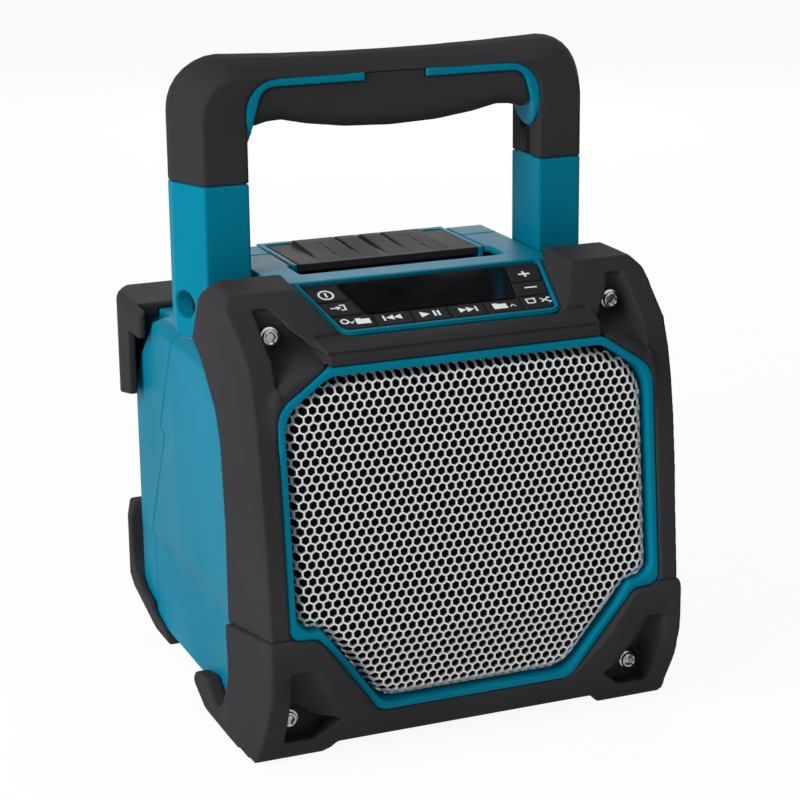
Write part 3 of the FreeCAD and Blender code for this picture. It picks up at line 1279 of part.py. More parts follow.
def terminal_block():
    base = block(-16.0, 16.0, BAY_FRONT_Y, BAY_FRONT_Y + 9.0, BAY_TOP_Z - 30.0, BAY_TOP_Z - 8.0)
    for x in (-10.0, 0.0, 10.0):
        base = base.cut(block(x - 1.6, x + 1.6, BAY_FRONT_Y + 3.0, BAY_FRONT_Y + 12.0, BAY_TOP_Z - 26.0, BAY_TOP_Z - 12.0))
    return base


def terminal_blades():
    blades = []
    for x in (-10.0, 0.0, 10.0):
        blades.append(block(x - 0.4, x + 0.4, BAY_FRONT_Y + 3.0, BAY_FRONT_Y + 16.0, BAY_TOP_Z - 25.0, BAY_TOP_Z - 13.0))
    return Part.makeCompound(blades)


def door_seal():
    front = LINER_REAR_Y + 0.35
    outer = block(-49.0, 49.0, front, BODY_REAR_Y - DOOR_THICK, 26.0, 150.0)
    inner = block(-46.8, 46.8, front - 1.0, BODY_REAR_Y, 28.2, 147.8)
    return outer.cut(inner)


def hinge_pin():
    return rod("x", DOOR_PIN_R, -57.0, 57.0, DOOR_PIN_Y, DOOR_PIN_Z)


def hinge_ears(body):
    # Fixed knuckles on the rear housing between those of the door
    ears = []
    for x0, x1 in ((-57.0, -50.4), (-37.9, -30.0), (-14.0, -6.1), (6.1, 14.0), (30.0, 37.9), (50.4, 57.0)):
        knuckle = rod("x", 3.2, x0, x1, DOOR_PIN_Y, DOOR_PIN_Z)
        arm = prism("x", x0, x1, [(DOOR_PIN_Y + 1.6, DOOR_PIN_Z - 2.77), (DOOR_PIN_Y - 1.0, DOOR_PIN_Z + 1.2),
                                  (188.4, 16.4), (184.0, 11.6)])
        ears.append(knuckle.fuse(arm))
    shape = fuse(ears).cut(bore("x", DOOR_PIN_R, -60.0, 60.0, DOOR_PIN_Y, DOOR_PIN_Z))
    return shape.cut(inside(BODY_WALL - 0.5))


# Boards and sockets

def main_board():
    board = block(-58.0, 58.0, 106.0, 107.6, 34.0, 150.0)
    for x in (-52.0, 52.0):
        for z in (40.0, 144.0):
            board = board.cut(rod("y", 1.7, 100.0, 110.0, x, z, INNER_SLACK))
    return board


def board_parts():
    made = [block(-40.0, -22.0, 103.4, 106.0, 96.0, 114.0), block(-6.0, 8.0, 103.8, 106.0, 110.0, 124.0),
            block(26.0, 50.0, 98.0, 106.0, 130.0, 140.0), block(-50.0, -30.0, 98.0, 106.0, 132.0, 140.0)]
    for x, z in ((20.0, 56.0), (34.0, 56.0), (48.0, 56.0), (34.0, 74.0), (48.0, 74.0)):
        made.append(rod("y", 5.0, 92.0, 106.0, x, z, INNER_SLACK))
    coil = rod("y", 8.0, 97.0, 106.0, -38.0, 70.0, INNER_SLACK)
    made.append(coil.cut(rod("y", 3.4, 96.0, 107.0, -38.0, 70.0, INNER_SLACK)))
    return Part.makeCompound(made)


def board_posts():
    # Distance posts from the main board to the battery bay
    made = []
    for x in (-40.0, 40.0):
        for z in (40.0, 144.0):
            made.append(rod("y", 3.0, 107.6, BAY_FRONT_Y - BAY_WALL + 0.5, x, z, INNER_SLACK))
    return made


def heat_sink():
    base = block(-22.0, 14.0, 104.2, 106.0, 42.0, 84.0)
    fins = [base]
    for i in range(7):
        x = -21.0 + i * 5.6
        fins.append(block(x, x + 1.4, 94.0, 104.4, 42.0, 84.0))
    return fuse(fins)


def wireless_module():
    board = block(6.0, 30.0, 105.0, 106.0, 90.0, 106.0)
    shield = block(8.0, 24.0, 103.0, 105.0, 91.5, 104.5)
    return board.fuse(shield).removeSplitter()


def port_panel():
    outer = block(BODY_HALF - PORT_DEEP, BODY_HALF - FLAP_THICK - 1.0, PORT_Y0, PORT_Y1, PORT_Z0, PORT_Z1)
    rim = block(BODY_HALF - PORT_DEEP - 2.0, BODY_HALF - PORT_DEEP, PORT_Y0 - 2.0, PORT_Y1 + 2.0, PORT_Z0 - 2.0,
                PORT_Z1 + 2.0)
    rim = rim.common(block(0.0, BODY_HALF, 40.0, 150.0, 60.0, 150.0))
    hollow = block(BODY_HALF - PORT_DEEP + PORT_WALL, BODY_HALF + 2.0, PORT_Y0 + PORT_WALL, PORT_Y1 - PORT_WALL,
                   PORT_Z0 + PORT_WALL, PORT_Z1 - PORT_WALL)
    panel = outer.fuse(rim).removeSplitter().cut(hollow)
    for tool in port_tools(0.0):
        panel = panel.cut(tool)
    return panel


def socket_face():
    return BODY_HALF - PORT_DEEP + PORT_WALL


def port_tools(grow):
    x0 = socket_face() - SOCKET_LONG
    x1 = socket_face() + 5.0
    usb = block(x0, x1, USB_Y - grow, USB_Y + USB_WIDE + grow, USB_Z - grow, USB_Z + USB_HIGH + grow)
    jack = rod("x", JACK_R + grow, x0, x1, JACK_Y, ROUND_Z, INNER_SLACK)
    power = rod("x", POWER_R + grow, x0, x1, POWER_Y, ROUND_Z, INNER_SLACK)
    return [usb, jack, power]


def usb_socket():
    x1 = socket_face()
    wall = 0.6
    shell = block(x1 - USB_LONG, x1, USB_Y, USB_Y + USB_WIDE, USB_Z, USB_Z + USB_HIGH)
    hollow = block(x1 - USB_LONG + 4.0, x1 + 1.0, USB_Y + wall, USB_Y + USB_WIDE - wall, USB_Z + wall,
                   USB_Z + USB_HIGH - wall)
    tongue = block(x1 - USB_LONG + 3.5, x1 - 1.0, USB_Y + 1.2, USB_Y + USB_WIDE - 1.2, USB_Z + 3.6, USB_Z + 5.0)
    return shell.cut(hollow).fuse(tongue).removeSplitter()


def round_socket(radius, hole_r, y):
    x1 = socket_face()
    barrel = rod("x", radius, x1 - SOCKET_LONG, x1, y, ROUND_Z, INNER_SLACK)
    return barrel.cut(rod("x", hole_r, x1 - SOCKET_LONG + 2.0, x1 + 1.0, y, ROUND_Z, INNER_SLACK))


def dc_socket():
    x1 = socket_face()
    pin = rod("x", 1.0, x1 - SOCKET_LONG + 1.5, x1 - 1.5, POWER_Y, ROUND_Z, INNER_SLACK)
    return round_socket(POWER_R, POWER_HOLE_R, POWER_Y).fuse(pin).removeSplitter()


def port_cover():
    x0 = BODY_HALF - FLAP_THICK
    y0 = PORT_Y0 + GAP + FLAP_THICK / 2.0
    plate = block(x0, BODY_HALF, y0, PORT_Y1 - GAP, PORT_Z0 + GAP, PORT_Z1 - GAP)
    knuckle = rod("z", FLAP_THICK / 2.0, PORT_Z0 + GAP, PORT_Z1 - GAP, x0 + FLAP_THICK / 2.0, y0)
    flap = plate.fuse(knuckle).removeSplitter()
    middle_z = (PORT_Z0 + PORT_Z1) / 2.0
    notch = rod("x", 5.0, BODY_HALF - 0.8, BODY_HALF + 4.0, PORT_Y1 + 2.0, middle_z)
    return flap.cut(notch)


# Screws

def screw_at(x, y, z, length):
    # Flanged head with a socket, on a shank along the depth
    rings = []
    head = [(0.0, 0.0), (0.0, SCREW_HEAD_R), (0.6, SCREW_HEAD_R), (SCREW_RISE, SCREW_TOP_R),
            (SCREW_RISE, SCREW_SOCKET_R), (SCREW_RISE - SCREW_SOCKET_DEEP, SCREW_SOCKET_R),
            (SCREW_RISE - SCREW_SOCKET_DEEP, 0.0)]
    for rise, r in head:
        if r == 0.0:
            rings.append([V(x, y - rise, z)])
        else:
            rings.append([V(a, y - rise, b) for a, b in ring_points(x, z, r, SCREW_SIDES)])
    faces = []
    for one, two in zip(rings, rings[1:]):
        faces += ring_band(one, two)
    shank = rod("y", SCREW_SHANK_R, y - 0.2, y + length, x, z, INNER_SLACK)
    return solid_from(faces).fuse(shank).removeSplitter()


def front_screws():
    screws = []
    for x, y, z in screw_spots():
        for side in (1, -1):
            screws.append(screw_at(side * x, y, z, FRONT_SHANK))
    return Part.makeCompound(screws)


def rear_screws():
    screws = []
    for x, z in REAR_SCREWS:
        for side in (1, -1):
            screw = screw_at(side * x, 0.0, z, REAR_SHANK)
            screw.rotate(V(0, 0, 0), V(0, 0, 1), 180.0)
            screw.translate(V(0, BODY_REAR_Y - SCREW_RISE, 0))
            screws.append(screw)
    return Part.makeCompound(screws)


def save(name, shape):
    shape = shape.copy()
    shape.translate(V(0, MIDDLE, 0))
    shape.exportStep("parts/" + name + ".step")


def main():
    os.makedirs("parts", exist_ok=True)
    body = main_bodies()
    front, rear = housings(body)
    arch, foot = bumpers(body)
    save("front_housing", front)
    save("rear_housing", rear.fuse(hinge_ears(body)).removeSplitter())
    save("front_arch_bumper", arch)
    save("front_foot_bumper", foot)
    cap = rear_cap(body)
    save("upper_rear_bumper_right", cap)
    save("upper_rear_bumper_left", mirror(cap))
    sole = heel(body)
    save("lower_rear_bumper_right", sole)
    save("lower_rear_bumper_left", mirror(sole))
    save("grille_trim", grille_trim())
    save("grille", grille())
    for name, shape in woofer() + tweeter():
        save(name, shape)
    core, shell, grip = handle_parts()
    save("handle_core", core)
    save("handle_outer_shell", shell)
    save("handle_palm_grip", grip)
    save("handle_pivot_pins", pivot_pins())
    save("handle_friction_washers", friction_washers())
    save("control_bezel", control_bezel())
    save("keypad_plate", keypad_plate())
    save("keypad_mat", keypad_mat())
    save("switch_board", switch_board())
    save("display_window", display_window())
    save("display_module", display_module())
    for name in BUTTONS:
        save("button_" + name, button(name))
    save("battery_door", battery_door(body))
    save("battery_door_seal", door_seal())
    save("battery_door_hinge_pin", hinge_pin())
    save("battery_locker", battery_locker())
    save("battery_locker_pin", locker_pin())
    save("battery_bay_liner", bay_liner())
    save("battery_terminal_block", terminal_block())
    save("battery_terminal_blades", terminal_blades())
    save("main_board", main_board())
    save("main_board_parts", board_parts())
    save("heat_sink", heat_sink())
    save("wireless_module", wireless_module())
    save("port_panel", port_panel())
    save("usb_socket", usb_socket())
    save("sound_jack", round_socket(JACK_R, JACK_HOLE_R, JACK_Y))
    save("mains_adaptor_socket", dc_socket())
    save("port_cover", port_cover())
    save("front_screws", front_screws())
    save("rear_screws", rear_screws())


main()
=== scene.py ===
"""Portable jobsite speaker: teal and black mouldings, silver grille, folding handle, tilted control panel."""
import json
import math

import bmesh
import bpy
import numpy as np
from mathutils import Matrix
from mathutils.bvhtree import BVHTree

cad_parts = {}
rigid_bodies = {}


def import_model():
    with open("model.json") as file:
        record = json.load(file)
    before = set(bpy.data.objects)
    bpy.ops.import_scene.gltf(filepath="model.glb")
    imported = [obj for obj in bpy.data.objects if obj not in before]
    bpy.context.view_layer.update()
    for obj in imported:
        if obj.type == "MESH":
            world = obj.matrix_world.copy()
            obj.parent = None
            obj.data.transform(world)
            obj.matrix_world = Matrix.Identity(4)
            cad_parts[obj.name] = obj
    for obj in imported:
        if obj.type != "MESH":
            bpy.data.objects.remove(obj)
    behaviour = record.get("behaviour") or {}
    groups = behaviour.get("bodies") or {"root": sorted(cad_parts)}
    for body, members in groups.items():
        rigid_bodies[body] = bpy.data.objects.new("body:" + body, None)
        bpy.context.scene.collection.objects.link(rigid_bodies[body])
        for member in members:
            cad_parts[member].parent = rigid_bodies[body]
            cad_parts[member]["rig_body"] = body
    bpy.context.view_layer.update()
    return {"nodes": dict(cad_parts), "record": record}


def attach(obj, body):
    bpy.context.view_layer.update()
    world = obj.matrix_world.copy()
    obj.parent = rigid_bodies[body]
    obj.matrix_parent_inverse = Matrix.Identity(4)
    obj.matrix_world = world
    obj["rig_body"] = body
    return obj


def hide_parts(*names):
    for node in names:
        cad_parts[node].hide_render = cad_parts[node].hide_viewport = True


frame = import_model()
nodes = frame["nodes"]

# Sizes in millimetres, with Y from the toe of the front feet, as the part is drawn
MIDDLE_Y = -94.0
FOLD_Z, FOLD_Y = 57.5, -17.9
TOP_Z, TOP_Y = 176.0, -6.2
CHIN_Z, CHIN_Y = 18.0, -12.9
OUTLINE = [(64.7, 176.0), (88.1, 160.2), (88.1, 61.6), (75.0, 61.0), (46.3, 21.6)]
OUTLINE_ROUND = [9.0, 12.0, 5.0, 7.0, 8.0]
CORNER_STEPS = 8
LEAST_ROUND = 0.6
TRIM_ROUND, TRIM_LIP, TRIM_LIP_ROUND = 0.9, 2.7, 0.55
TRIM_SLOPE = [(3.5, 3.0), (3.8, 7.0), (3.8, 12.0), (0.0, 12.0)]
SIDE_BLEND, STEP_BLEND, SOLE_BLEND = 9.0, 5.0, 7.0
SHEET_INSET = 3.9
HOLE_PITCH = 4.224
HOLE_WEB = 0.72
HOLE_ROWS, HOLE_COLUMNS = (-2, 44), (-24, 25)
FIRST_ROW_Z = 20.0
EDGE_SLACK = 0.9
SHEET_THICK = 1.0
TURN_WIDE = 6.0
TURN_DEEP = 5.5
SHEET_SUNK = 1.6
SCREEN_BEHIND = 2.2
SCREEN_START, SCREEN_LAG = 1.4, 1.2
SCREEN_STEPS = [0.0, 1.0, 2.0, 3.2, 4.8, 6.8]
SCREEN_THICK = 0.5
HUB_Z = 100.0
FRONT_SCREWS = [(80.8, 21.3, 185.3), (83.2, 2.4, 18.2)]
REAR_SCREWS = [(74.0, 191.8, 82.0), (74.0, 191.8, 108.0)]
SOCKET_REACH, SOCKET_EASE = 2.3, 1.08
HEAD_AROUND = 48
PANEL_Y, PANEL_Z, PANEL_TILT = 10.2, 185.4, 20.2
INK_LEVEL = -0.36
INK_THICK = 0.03

# Warps of the moulded bumpers and the core, in the same millimetres
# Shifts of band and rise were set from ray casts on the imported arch, against the face that is wanted
FADE = 4.0
SEAM_HEIGHTS = [44.0, 63.0, 85.0]
SEAM_FALL, SEAM_SIDE_X = 8.0, 87.0
SEAM_FRONT_Y, SEAM_RUN = -18.0, 49.0
BAND_HEIGHTS = [172.0, 175.0, 176.0, 178.0, 180.0, 181.0, 182.1, 184.0, 185.8]
BAND_SHIFTS = [0.0, 4.6, 4.8, 5.2, 6.1, 7.4, 8.2, 4.6, 0.0]
BAND_HALF, BAND_FADE, BAND_BACK_Y = 66.0, 2.5, 14.0
RISE_HEIGHTS = [146.0, 156.0, 160.0, 164.0, 168.0, 172.0, 176.0]
RISE_SHIFTS = [0.0, 0.6, 1.2, 3.4, 5.0, 6.4, 7.0]
RISE_REACH, RISE_SIDE_X = 8.0, 61.0
RISE_END_Z, RISE_FADE = 184.0, 6.0
LIFT_SIDE_X, LIFT_END_X, LIFT_FADE = 60.0, 91.0, 2.0
LIFT_LOW_Z, LIFT_RUN = 146.0, 9.0
LIFT_LEAN, LIFT_LESS = 0.129, 6.2
GROOVE_Z, GROOVE_HALF, GROOVE_DEEP = 181.3, 0.9, 1.7
GROOVE_SPAN, GROOVE_FADE, GROOVE_BACK_Y = 63.5, 1.0, 9.0
BOOT_LOW_Z, BOOT_HIGH_Z, BOOT_STEP = 12.0, 44.0, 4.0
BOOT_SIDE_X = 92.0
SCOOP_HEIGHTS = [25.5, 38.0, 50.0]
SCOOP_FLOORS = [2.4, -7.0, -16.0]
SCOOP_LOW_Z, SCOOP_HIGH_Z, SCOOP_HIGH_FADE = 19.5, 48.2, 1.0
SCOOP_FOLD, SCOOP_LEAN, SCOOP_CURVE = 62.5, 0.495, 0.85
SCOOP_WALL, SCOOP_END, SCOOP_END_FADE = 88.4, 89.2, 0.8
PIVOT_EASE, PIVOT_REACH, PIVOT_FADE = 0.4, 9.0, 2.0

# Distances in metres: under which points are merged or edges dissolved, and where rays from the front start
MERGE, MERGE_NODE, MERGE_CELLS, MERGE_HEAD, MERGE_INK = 1e-5, 2e-5, 6e-5, 3e-5, 1e-7
SHORT_EDGE = 2e-5
RAY_START_Y = -0.3

# Places of the marks on the panel: across from its middle, then up its slope
LEFT_KEYS_X, RIGHT_KEYS_X = -47.9, 47.4
TOP_KEYS_U, MIDDLE_KEYS_U, LOW_KEYS_U = 31.5, 21.0, 9.4
STROKE = 0.95

# Camera in degrees, millimetres of lens and metres, then lamps as place, size and watts
CAMERA_TURN, CAMERA_LIFT, CAMERA_ROLL = -22.239, 16.213, -0.599
CAMERA_LENS = 104.091
SENSOR_WIDE = 36.0
CAMERA_PLACE = (-0.3886, -0.9713, 0.4326)
AIM = (0.0, 0.0, 0.15)
LAMPS = {
    "key_left": ((-1.55, -0.5, 1.05), 1.1, 38.0),
    "fill_front": ((0.5, -1.7, 0.7), 1.0, 3.5),
    "fill_back": ((0.7, 1.6, 0.8), 1.0, 9.0),
    "top_soft": ((0.0, 0.2, 1.8), 1.2, 2.0),
}
FLOOR_HALF = 30.0
FLOOR_TONE = 0.94
FLOOR_WHITE = 0.93
SKY_LIGHT = 0.2

SLOTS = {part["node"]: part["material_slot"] for part in frame["record"]["subparts"]}


# Placing and meshing

def seated(points):
    """Millimetres from the toe of the feet become metres from the middle: (x, y - 94, z) / 1000."""
    points = np.asarray(points, dtype=float)
    return (points + np.array([0.0, MIDDLE_Y, 0.0])) * 0.001


def on_panel(x, u, n):
    """Flat panel place to space: u runs up the tilted panel and n stands square to it."""
    tilt = math.radians(PANEL_TILT)
    y = PANEL_Y + u * math.cos(tilt) - n * math.sin(tilt)
    z = PANEL_Z + u * math.sin(tilt) + n * math.cos(tilt)
    return np.stack(np.broadcast_arrays(x, y, z), axis=-1)


def build(name, points, faces, body, stands_for=(), smooth=True):
    """Makes one mesh object from points in metres, gives it its body and hides the nodes it stands for."""
    mesh = bpy.data.meshes.new(name)
    mesh.from_pydata([tuple(p) for p in points], [], [tuple(f) for f in faces])
    mesh.polygons.foreach_set("use_smooth", [smooth] * len(mesh.polygons))
    mesh.update()
    return adopt(bpy.data.objects.new(name, mesh), body, stands_for)


def adopt(piece, body, stands_for=()):
    """Links a piece, tells the frame what it rides on, and hides the nodes it stands for."""
    bpy.context.scene.collection.objects.link(piece)
    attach(piece, body)
    if stands_for:
        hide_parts(*stands_for)
    return piece


def grid_faces(rows, columns, closed=True):
    """Four-sided faces of a grid of rows by columns, closed round its columns if asked."""
    r, c = np.meshgrid(np.arange(rows - 1), np.arange(columns if closed else columns - 1), indexing="ij")
    n = (c + 1) % columns
    return np.stack([r * columns + c, r * columns + n, (r + 1) * columns + n, (r + 1) * columns + c],
                    axis=-1).reshape(-1, 4)


def tidy_mesh(piece, distance=MERGE):
    """Merges doubles and turns all faces outwards."""
    work = bmesh.new()
    work.from_mesh(piece.data)
    bmesh.ops.remove_doubles(work, verts=work.verts, dist=distance)
    bmesh.ops.recalc_face_normals(work, faces=work.faces)
    work.to_mesh(piece.data)
    work.free()
    return piece


def merged_copy(node):
    """Mesh of a node with its doubled points merged; the node itself stays as it is."""
    mesh = nodes[node].data.copy()
    work = bmesh.new()
    work.from_mesh(mesh)
    bmesh.ops.remove_doubles(work, verts=work.verts, dist=MERGE_NODE)
    work.to_mesh(mesh)
    work.free()
    return mesh


def evaluated(piece):
    """Mesh of a piece with its modifiers worked in."""
    graph = bpy.context.evaluated_depsgraph_get()
    graph.update()
    return bpy.data.meshes.new_from_object(piece.evaluated_get(graph))


def melted(points, ends, passes):
    """Each pass moves every point half way to the mean of its neighbours: p += (mean - p) / 2."""
    count = np.bincount(ends.ravel(), minlength=len(points)).astype(float)[:, None]
    for _ in range(passes):
        total = np.stack([np.bincount(ends[:, 0], points[ends[:, 1], axis], len(points))
                          + np.bincount(ends[:, 1], points[ends[:, 0], axis], len(points))
                          for axis in range(3)], axis=1)
        points = points + 0.5 * (total / count - points)
    return points


# Warps of the moulded copies

def rising(value, start, over):
    """Share that climbs from 0 at the start to 1 over a length."""
    return np.clip((value - start) / over, 0.0, 1.0)


def falling(value, end, over):
    """Share that sinks over a length to 0 at the end."""
    return np.clip((end - value) / over, 0.0, 1.0)


def seam_drop(x, y, z):
    """Fall of the seam between rail and boot along the side: 8 at the rear, nothing at the front corner.

    The fall fades out over 22 above the seam and over 19 below it. It is the same function on both pieces,
    so that they keep meeting."""
    back = rising(y, SEAM_FRONT_Y, SEAM_RUN) * rising(np.abs(x), SEAM_SIDE_X, FADE)
    return SEAM_FALL * back * np.interp(z, SEAM_HEIGHTS, [0.0, 1.0, 0.0])


def arch_shape(x, y, z):
    """Arch bumper drawn up flush with the trim: a flat band above it, the brow's groove, smaller corner cuts.

    Forward shift of the band grows with height to the brow's edge at 182.1 and is gone at 185.8. Beside the
    slanting trim the rise falls off over 8 mm and the opening's edge moves up by 0.129 x - 6.2."""
    side = np.abs(x)
    band = np.interp(z, BAND_HEIGHTS, BAND_SHIFTS)
    inner = falling(side, BAND_HALF, BAND_FADE) * (y < BAND_BACK_Y)
    away = np.clip(-edge_distance(x, z) / RISE_REACH, 0.0, 1.0)
    near = (1.0 - away) ** 2 * (1.0 + 2.0 * away)
    rise = np.interp(z, RISE_HEIGHTS, RISE_SHIFTS)
    corner = rising(side, RISE_SIDE_X, FADE) * falling(z, RISE_END_Z, RISE_FADE)
    forward = np.maximum(band * inner, rise * near * corner)
    lift = (LIFT_LEAN * side - LIFT_LESS) * near * rising(side, LIFT_SIDE_X, FADE)
    lift = lift * rising(z, LIFT_LOW_Z, LIFT_RUN)
    lift = lift * falling(side, LIFT_END_X, LIFT_FADE)
    groove = GROOVE_DEEP * np.clip(1.0 - ((z - GROOVE_Z) / GROOVE_HALF) ** 2, 0.0, 1.0)
    groove = groove * falling(side, GROOVE_SPAN, GROOVE_FADE) * (y < GROOVE_BACK_Y)
    return x, y - forward + groove, z + lift - seam_drop(x, y, z)


def packed_front(node, x, heights):
    """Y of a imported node's front at one x, to a tenth: where a level ray from the front meets it."""
    work = bmesh.new()
    work.from_mesh(nodes[node].data)
    tree = BVHTree.FromBMesh(work)
    work.free()
    hits = [tree.ray_cast((x * 0.001, RAY_START_Y, z * 0.001), (0.0, 1.0, 0.0))[0] for z in heights]
    return [round(hit.y * 1000.0 - MIDDLE_Y, 1) for hit in hits]


def foot_shape(x, y, z):
    """Foot bumper with a long scoop over each low screw: y moves towards the floor by the reach across it.

    The reach runs from 0 at a slanting fold to 1 at the upright outer wall. Front and floor are y by height,
    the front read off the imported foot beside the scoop, and what lies between is squeezed in proportion."""
    side = np.abs(x)
    heights = np.arange(BOOT_LOW_Z, BOOT_HIGH_Z + 1.0, BOOT_STEP)
    front = np.interp(z, heights, packed_front("front_foot_bumper", BOOT_SIDE_X, heights))
    floor_y = np.interp(z, SCOOP_HEIGHTS, SCOOP_FLOORS)
    fold = SCOOP_FOLD + SCOOP_LEAN * (z - SCOOP_LOW_Z)
    reach = np.clip((side - fold) / (SCOOP_WALL - fold), 0.0, 1.0) ** SCOOP_CURVE
    reach = reach * falling(side, SCOOP_END, SCOOP_END_FADE)
    reach = reach * rising(z, SCOOP_LOW_Z, FADE) * falling(z, SCOOP_HIGH_Z, SCOOP_HIGH_FADE)
    share = np.clip((floor_y + 1.0 - y) / (floor_y + 1.0 - front), 0.0, 1.0)
    return x, y + share * reach * (floor_y - front), z - seam_drop(x, y, z)


def core_shape(x, y, z):
    """Handle core with its pivot holes opened by 0.4, so the pins turn clear of the moulded faces.

    The push points away from the pins' axis and fades out from 7 to 9 away from it."""
    corners = np.array([tuple(corner) for corner in nodes["handle_pivot_pins"].bound_box]) * 1000.0
    middle = (corners.min(axis=0) + corners.max(axis=0)) / 2.0
    across, up = y + MIDDLE_Y - middle[1], z - middle[2]
    away = np.maximum(np.hypot(across, up), 0.1)
    push = PIVOT_EASE * falling(away, PIVOT_REACH, PIVOT_FADE) * np.clip(away / PIVOT_FADE, 0.0, 1.0)
    return x, y + push * across / away, z + push * up / away


def softened(node, voxel, passes, keep, shape=None):
    """Moulded form of a node: even small faces over its surface, whose edges melt over some passes.

    Flats stay flat, because every neighbour of a point on them lies in the same plane. A shape function may
    then draw the surface, and the faces are thinned to the share kept."""
    work = bpy.data.objects.new(node + "_work", merged_copy(node))
    bpy.context.scene.collection.objects.link(work)
    remesh = work.modifiers.new("even", "REMESH")
    remesh.mode = "VOXEL"
    remesh.voxel_size = voxel * 0.001
    fine = evaluated(work)
    points = np.empty(len(fine.vertices) * 3)
    fine.vertices.foreach_get("co", points)
    ends = np.empty(len(fine.edges) * 2, dtype=np.int32)
    fine.edges.foreach_get("vertices", ends)
    points = melted(points.reshape(-1, 3), ends.reshape(-1, 2), passes)
    if shape:
        x, y, z = points.T * 1000.0
        points = seated(np.stack(shape(x, y - MIDDLE_Y, z), axis=1))
    fine.vertices.foreach_set("co", points.ravel())
    fine.update()
    work.modifiers.clear()
    work.data = fine
    thin = work.modifiers.new("thin", "DECIMATE")
    thin.ratio = keep
    done = evaluated(work)
    done.name = node + "_moulded"
    done.polygons.foreach_set("use_smooth", [True] * len(done.polygons))
    bpy.data.objects.remove(work)
    return adopt(bpy.data.objects.new(node + "_moulded", done), nodes[node]["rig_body"], [node])


# Face of the speaker

def face_y(z):
    """Y of the face: two planes that meet in a fold, the upper leaning back and the chin turning under."""
    upper = FOLD_Y + (z - FOLD_Z) * (TOP_Y - FOLD_Y) / (TOP_Z - FOLD_Z)
    lower = FOLD_Y + (FOLD_Z - z) * (CHIN_Y - FOLD_Y) / (FOLD_Z - CHIN_Z)
    return np.where(z >= FOLD_Z, upper, lower)


def offset_corners(points, amount):
    """Corners of a closed clockwise outline after every side has moved inwards by the amount."""
    here = np.asarray(points, dtype=float)
    way = np.roll(here, -1, axis=0) - here
    way /= np.linalg.norm(way, axis=1)[:, None]
    inward = np.stack([way[:, 1], -way[:, 0]], axis=1)
    start = here + inward * amount
    last, last_way = np.roll(start, 1, axis=0), np.roll(way, 1, axis=0)
    cross = last_way[:, 0] * way[:, 1] - last_way[:, 1] * way[:, 0]
    gap = start - last
    share = (gap[:, 0] * way[:, 1] - gap[:, 1] * way[:, 0]) / cross
    return last + last_way * share[:, None]


def outline_ring(amount):
    """Outline of the trim moved inwards: straight sides joined by arcs that keep their centres.

    Each corner is swept in equal angles between the normals of its two sides, and one point is added
    where each slanting side crosses the fold of the face."""
    points = OUTLINE + [(-x, z) for x, z in reversed(OUTLINE)]
    rounds = OUTLINE_ROUND + OUTLINE_ROUND[::-1]
    corners = offset_corners(points, amount)
    before = np.roll(corners, 1, axis=0) - corners
    after = np.roll(corners, -1, axis=0) - corners
    before /= np.linalg.norm(before, axis=1)[:, None]
    after /= np.linalg.norm(after, axis=1)[:, None]
    turn = before[:, 0] * after[:, 1] - before[:, 1] * after[:, 0]
    half = np.arccos(np.clip((before * after).sum(axis=1), -1.0, 1.0)) / 2.0
    radius = np.maximum(np.array(rounds) + np.where(turn < 0.0, 1.0, -1.0) * -amount, LEAST_ROUND)
    middle = before + after
    middle /= np.linalg.norm(middle, axis=1)[:, None]
    centre = corners + middle * (radius / np.sin(half))[:, None]
    start = corners + before * (radius / np.tan(half))[:, None] - centre
    end = corners + after * (radius / np.tan(half))[:, None] - centre
    a0 = np.arctan2(start[:, 1], start[:, 0])
    sweep = (np.arctan2(end[:, 1], end[:, 0]) - a0 + math.pi) % (2.0 * math.pi) - math.pi
    share = np.linspace(0.0, 1.0, CORNER_STEPS)
    angle = a0[:, None] + sweep[:, None] * share[None, :]
    arcs = centre[:, None, :] + radius[:, None, None] * np.stack([np.cos(angle), np.sin(angle)], axis=-1)
    ring = arcs.reshape(-1, 2)
    follow = np.roll(ring, -1, axis=0)
    crossing = (ring[:, 1] - FOLD_Z) * (follow[:, 1] - FOLD_Z) < 0.0
    spots = np.nonzero(crossing)[0]
    t = (FOLD_Z - ring[spots, 1]) / (follow[spots, 1] - ring[spots, 1])
    added = ring[spots] + (follow[spots] - ring[spots]) * t[:, None]
    return np.insert(ring, spots + 1, added, axis=0)


def ring_at(amount, depth):
    """The outline moved inwards and laid on the face at a depth behind it."""
    ring = outline_ring(amount)
    return np.stack([ring[:, 0], face_y(ring[:, 1]) + depth, ring[:, 1]], axis=1)


def trim_profile():
    """Section of the trim as inset and depth pairs: outer wall, rounded front, slope down to the sheet."""
    bend = np.radians(np.linspace(0.0, 90.0, 5))
    outer = np.stack([TRIM_ROUND - TRIM_ROUND * np.cos(bend), TRIM_ROUND - TRIM_ROUND * np.sin(bend)], axis=1)
    inner = np.stack([TRIM_LIP + TRIM_LIP_ROUND * np.sin(bend),
                      TRIM_LIP_ROUND - TRIM_LIP_ROUND * np.cos(bend)], axis=1)
    return np.vstack([outer, inner, np.array(TRIM_SLOPE)])


def trim_ring():
    """Trim round the sheet: one ring of the outline for each point of the section, closed back to the first.

    A ring is the outline moved inwards by the inset, at y = face + depth."""
    rings = [ring_at(a, d) for a, d in trim_profile()]
    points = np.vstack(rings + [rings[0]])
    piece = build("grille_trim_ring", seated(points), grid_faces(len(rings) + 1, len(rings[0])), "speaker",
                  ["grille_trim"])
    tidy_mesh(piece)
    piece.data.set_sharp_from_angle(angle=math.radians(40.0))
    return piece


def soft_min(a, b, width):
    """Smaller of two distances, blended over a width so that corners come out round."""
    mix = np.clip(0.5 + 0.5 * (b - a) / width, 0.0, 1.0)
    return b * (1.0 - mix) + a * mix - width * mix * (1.0 - mix)


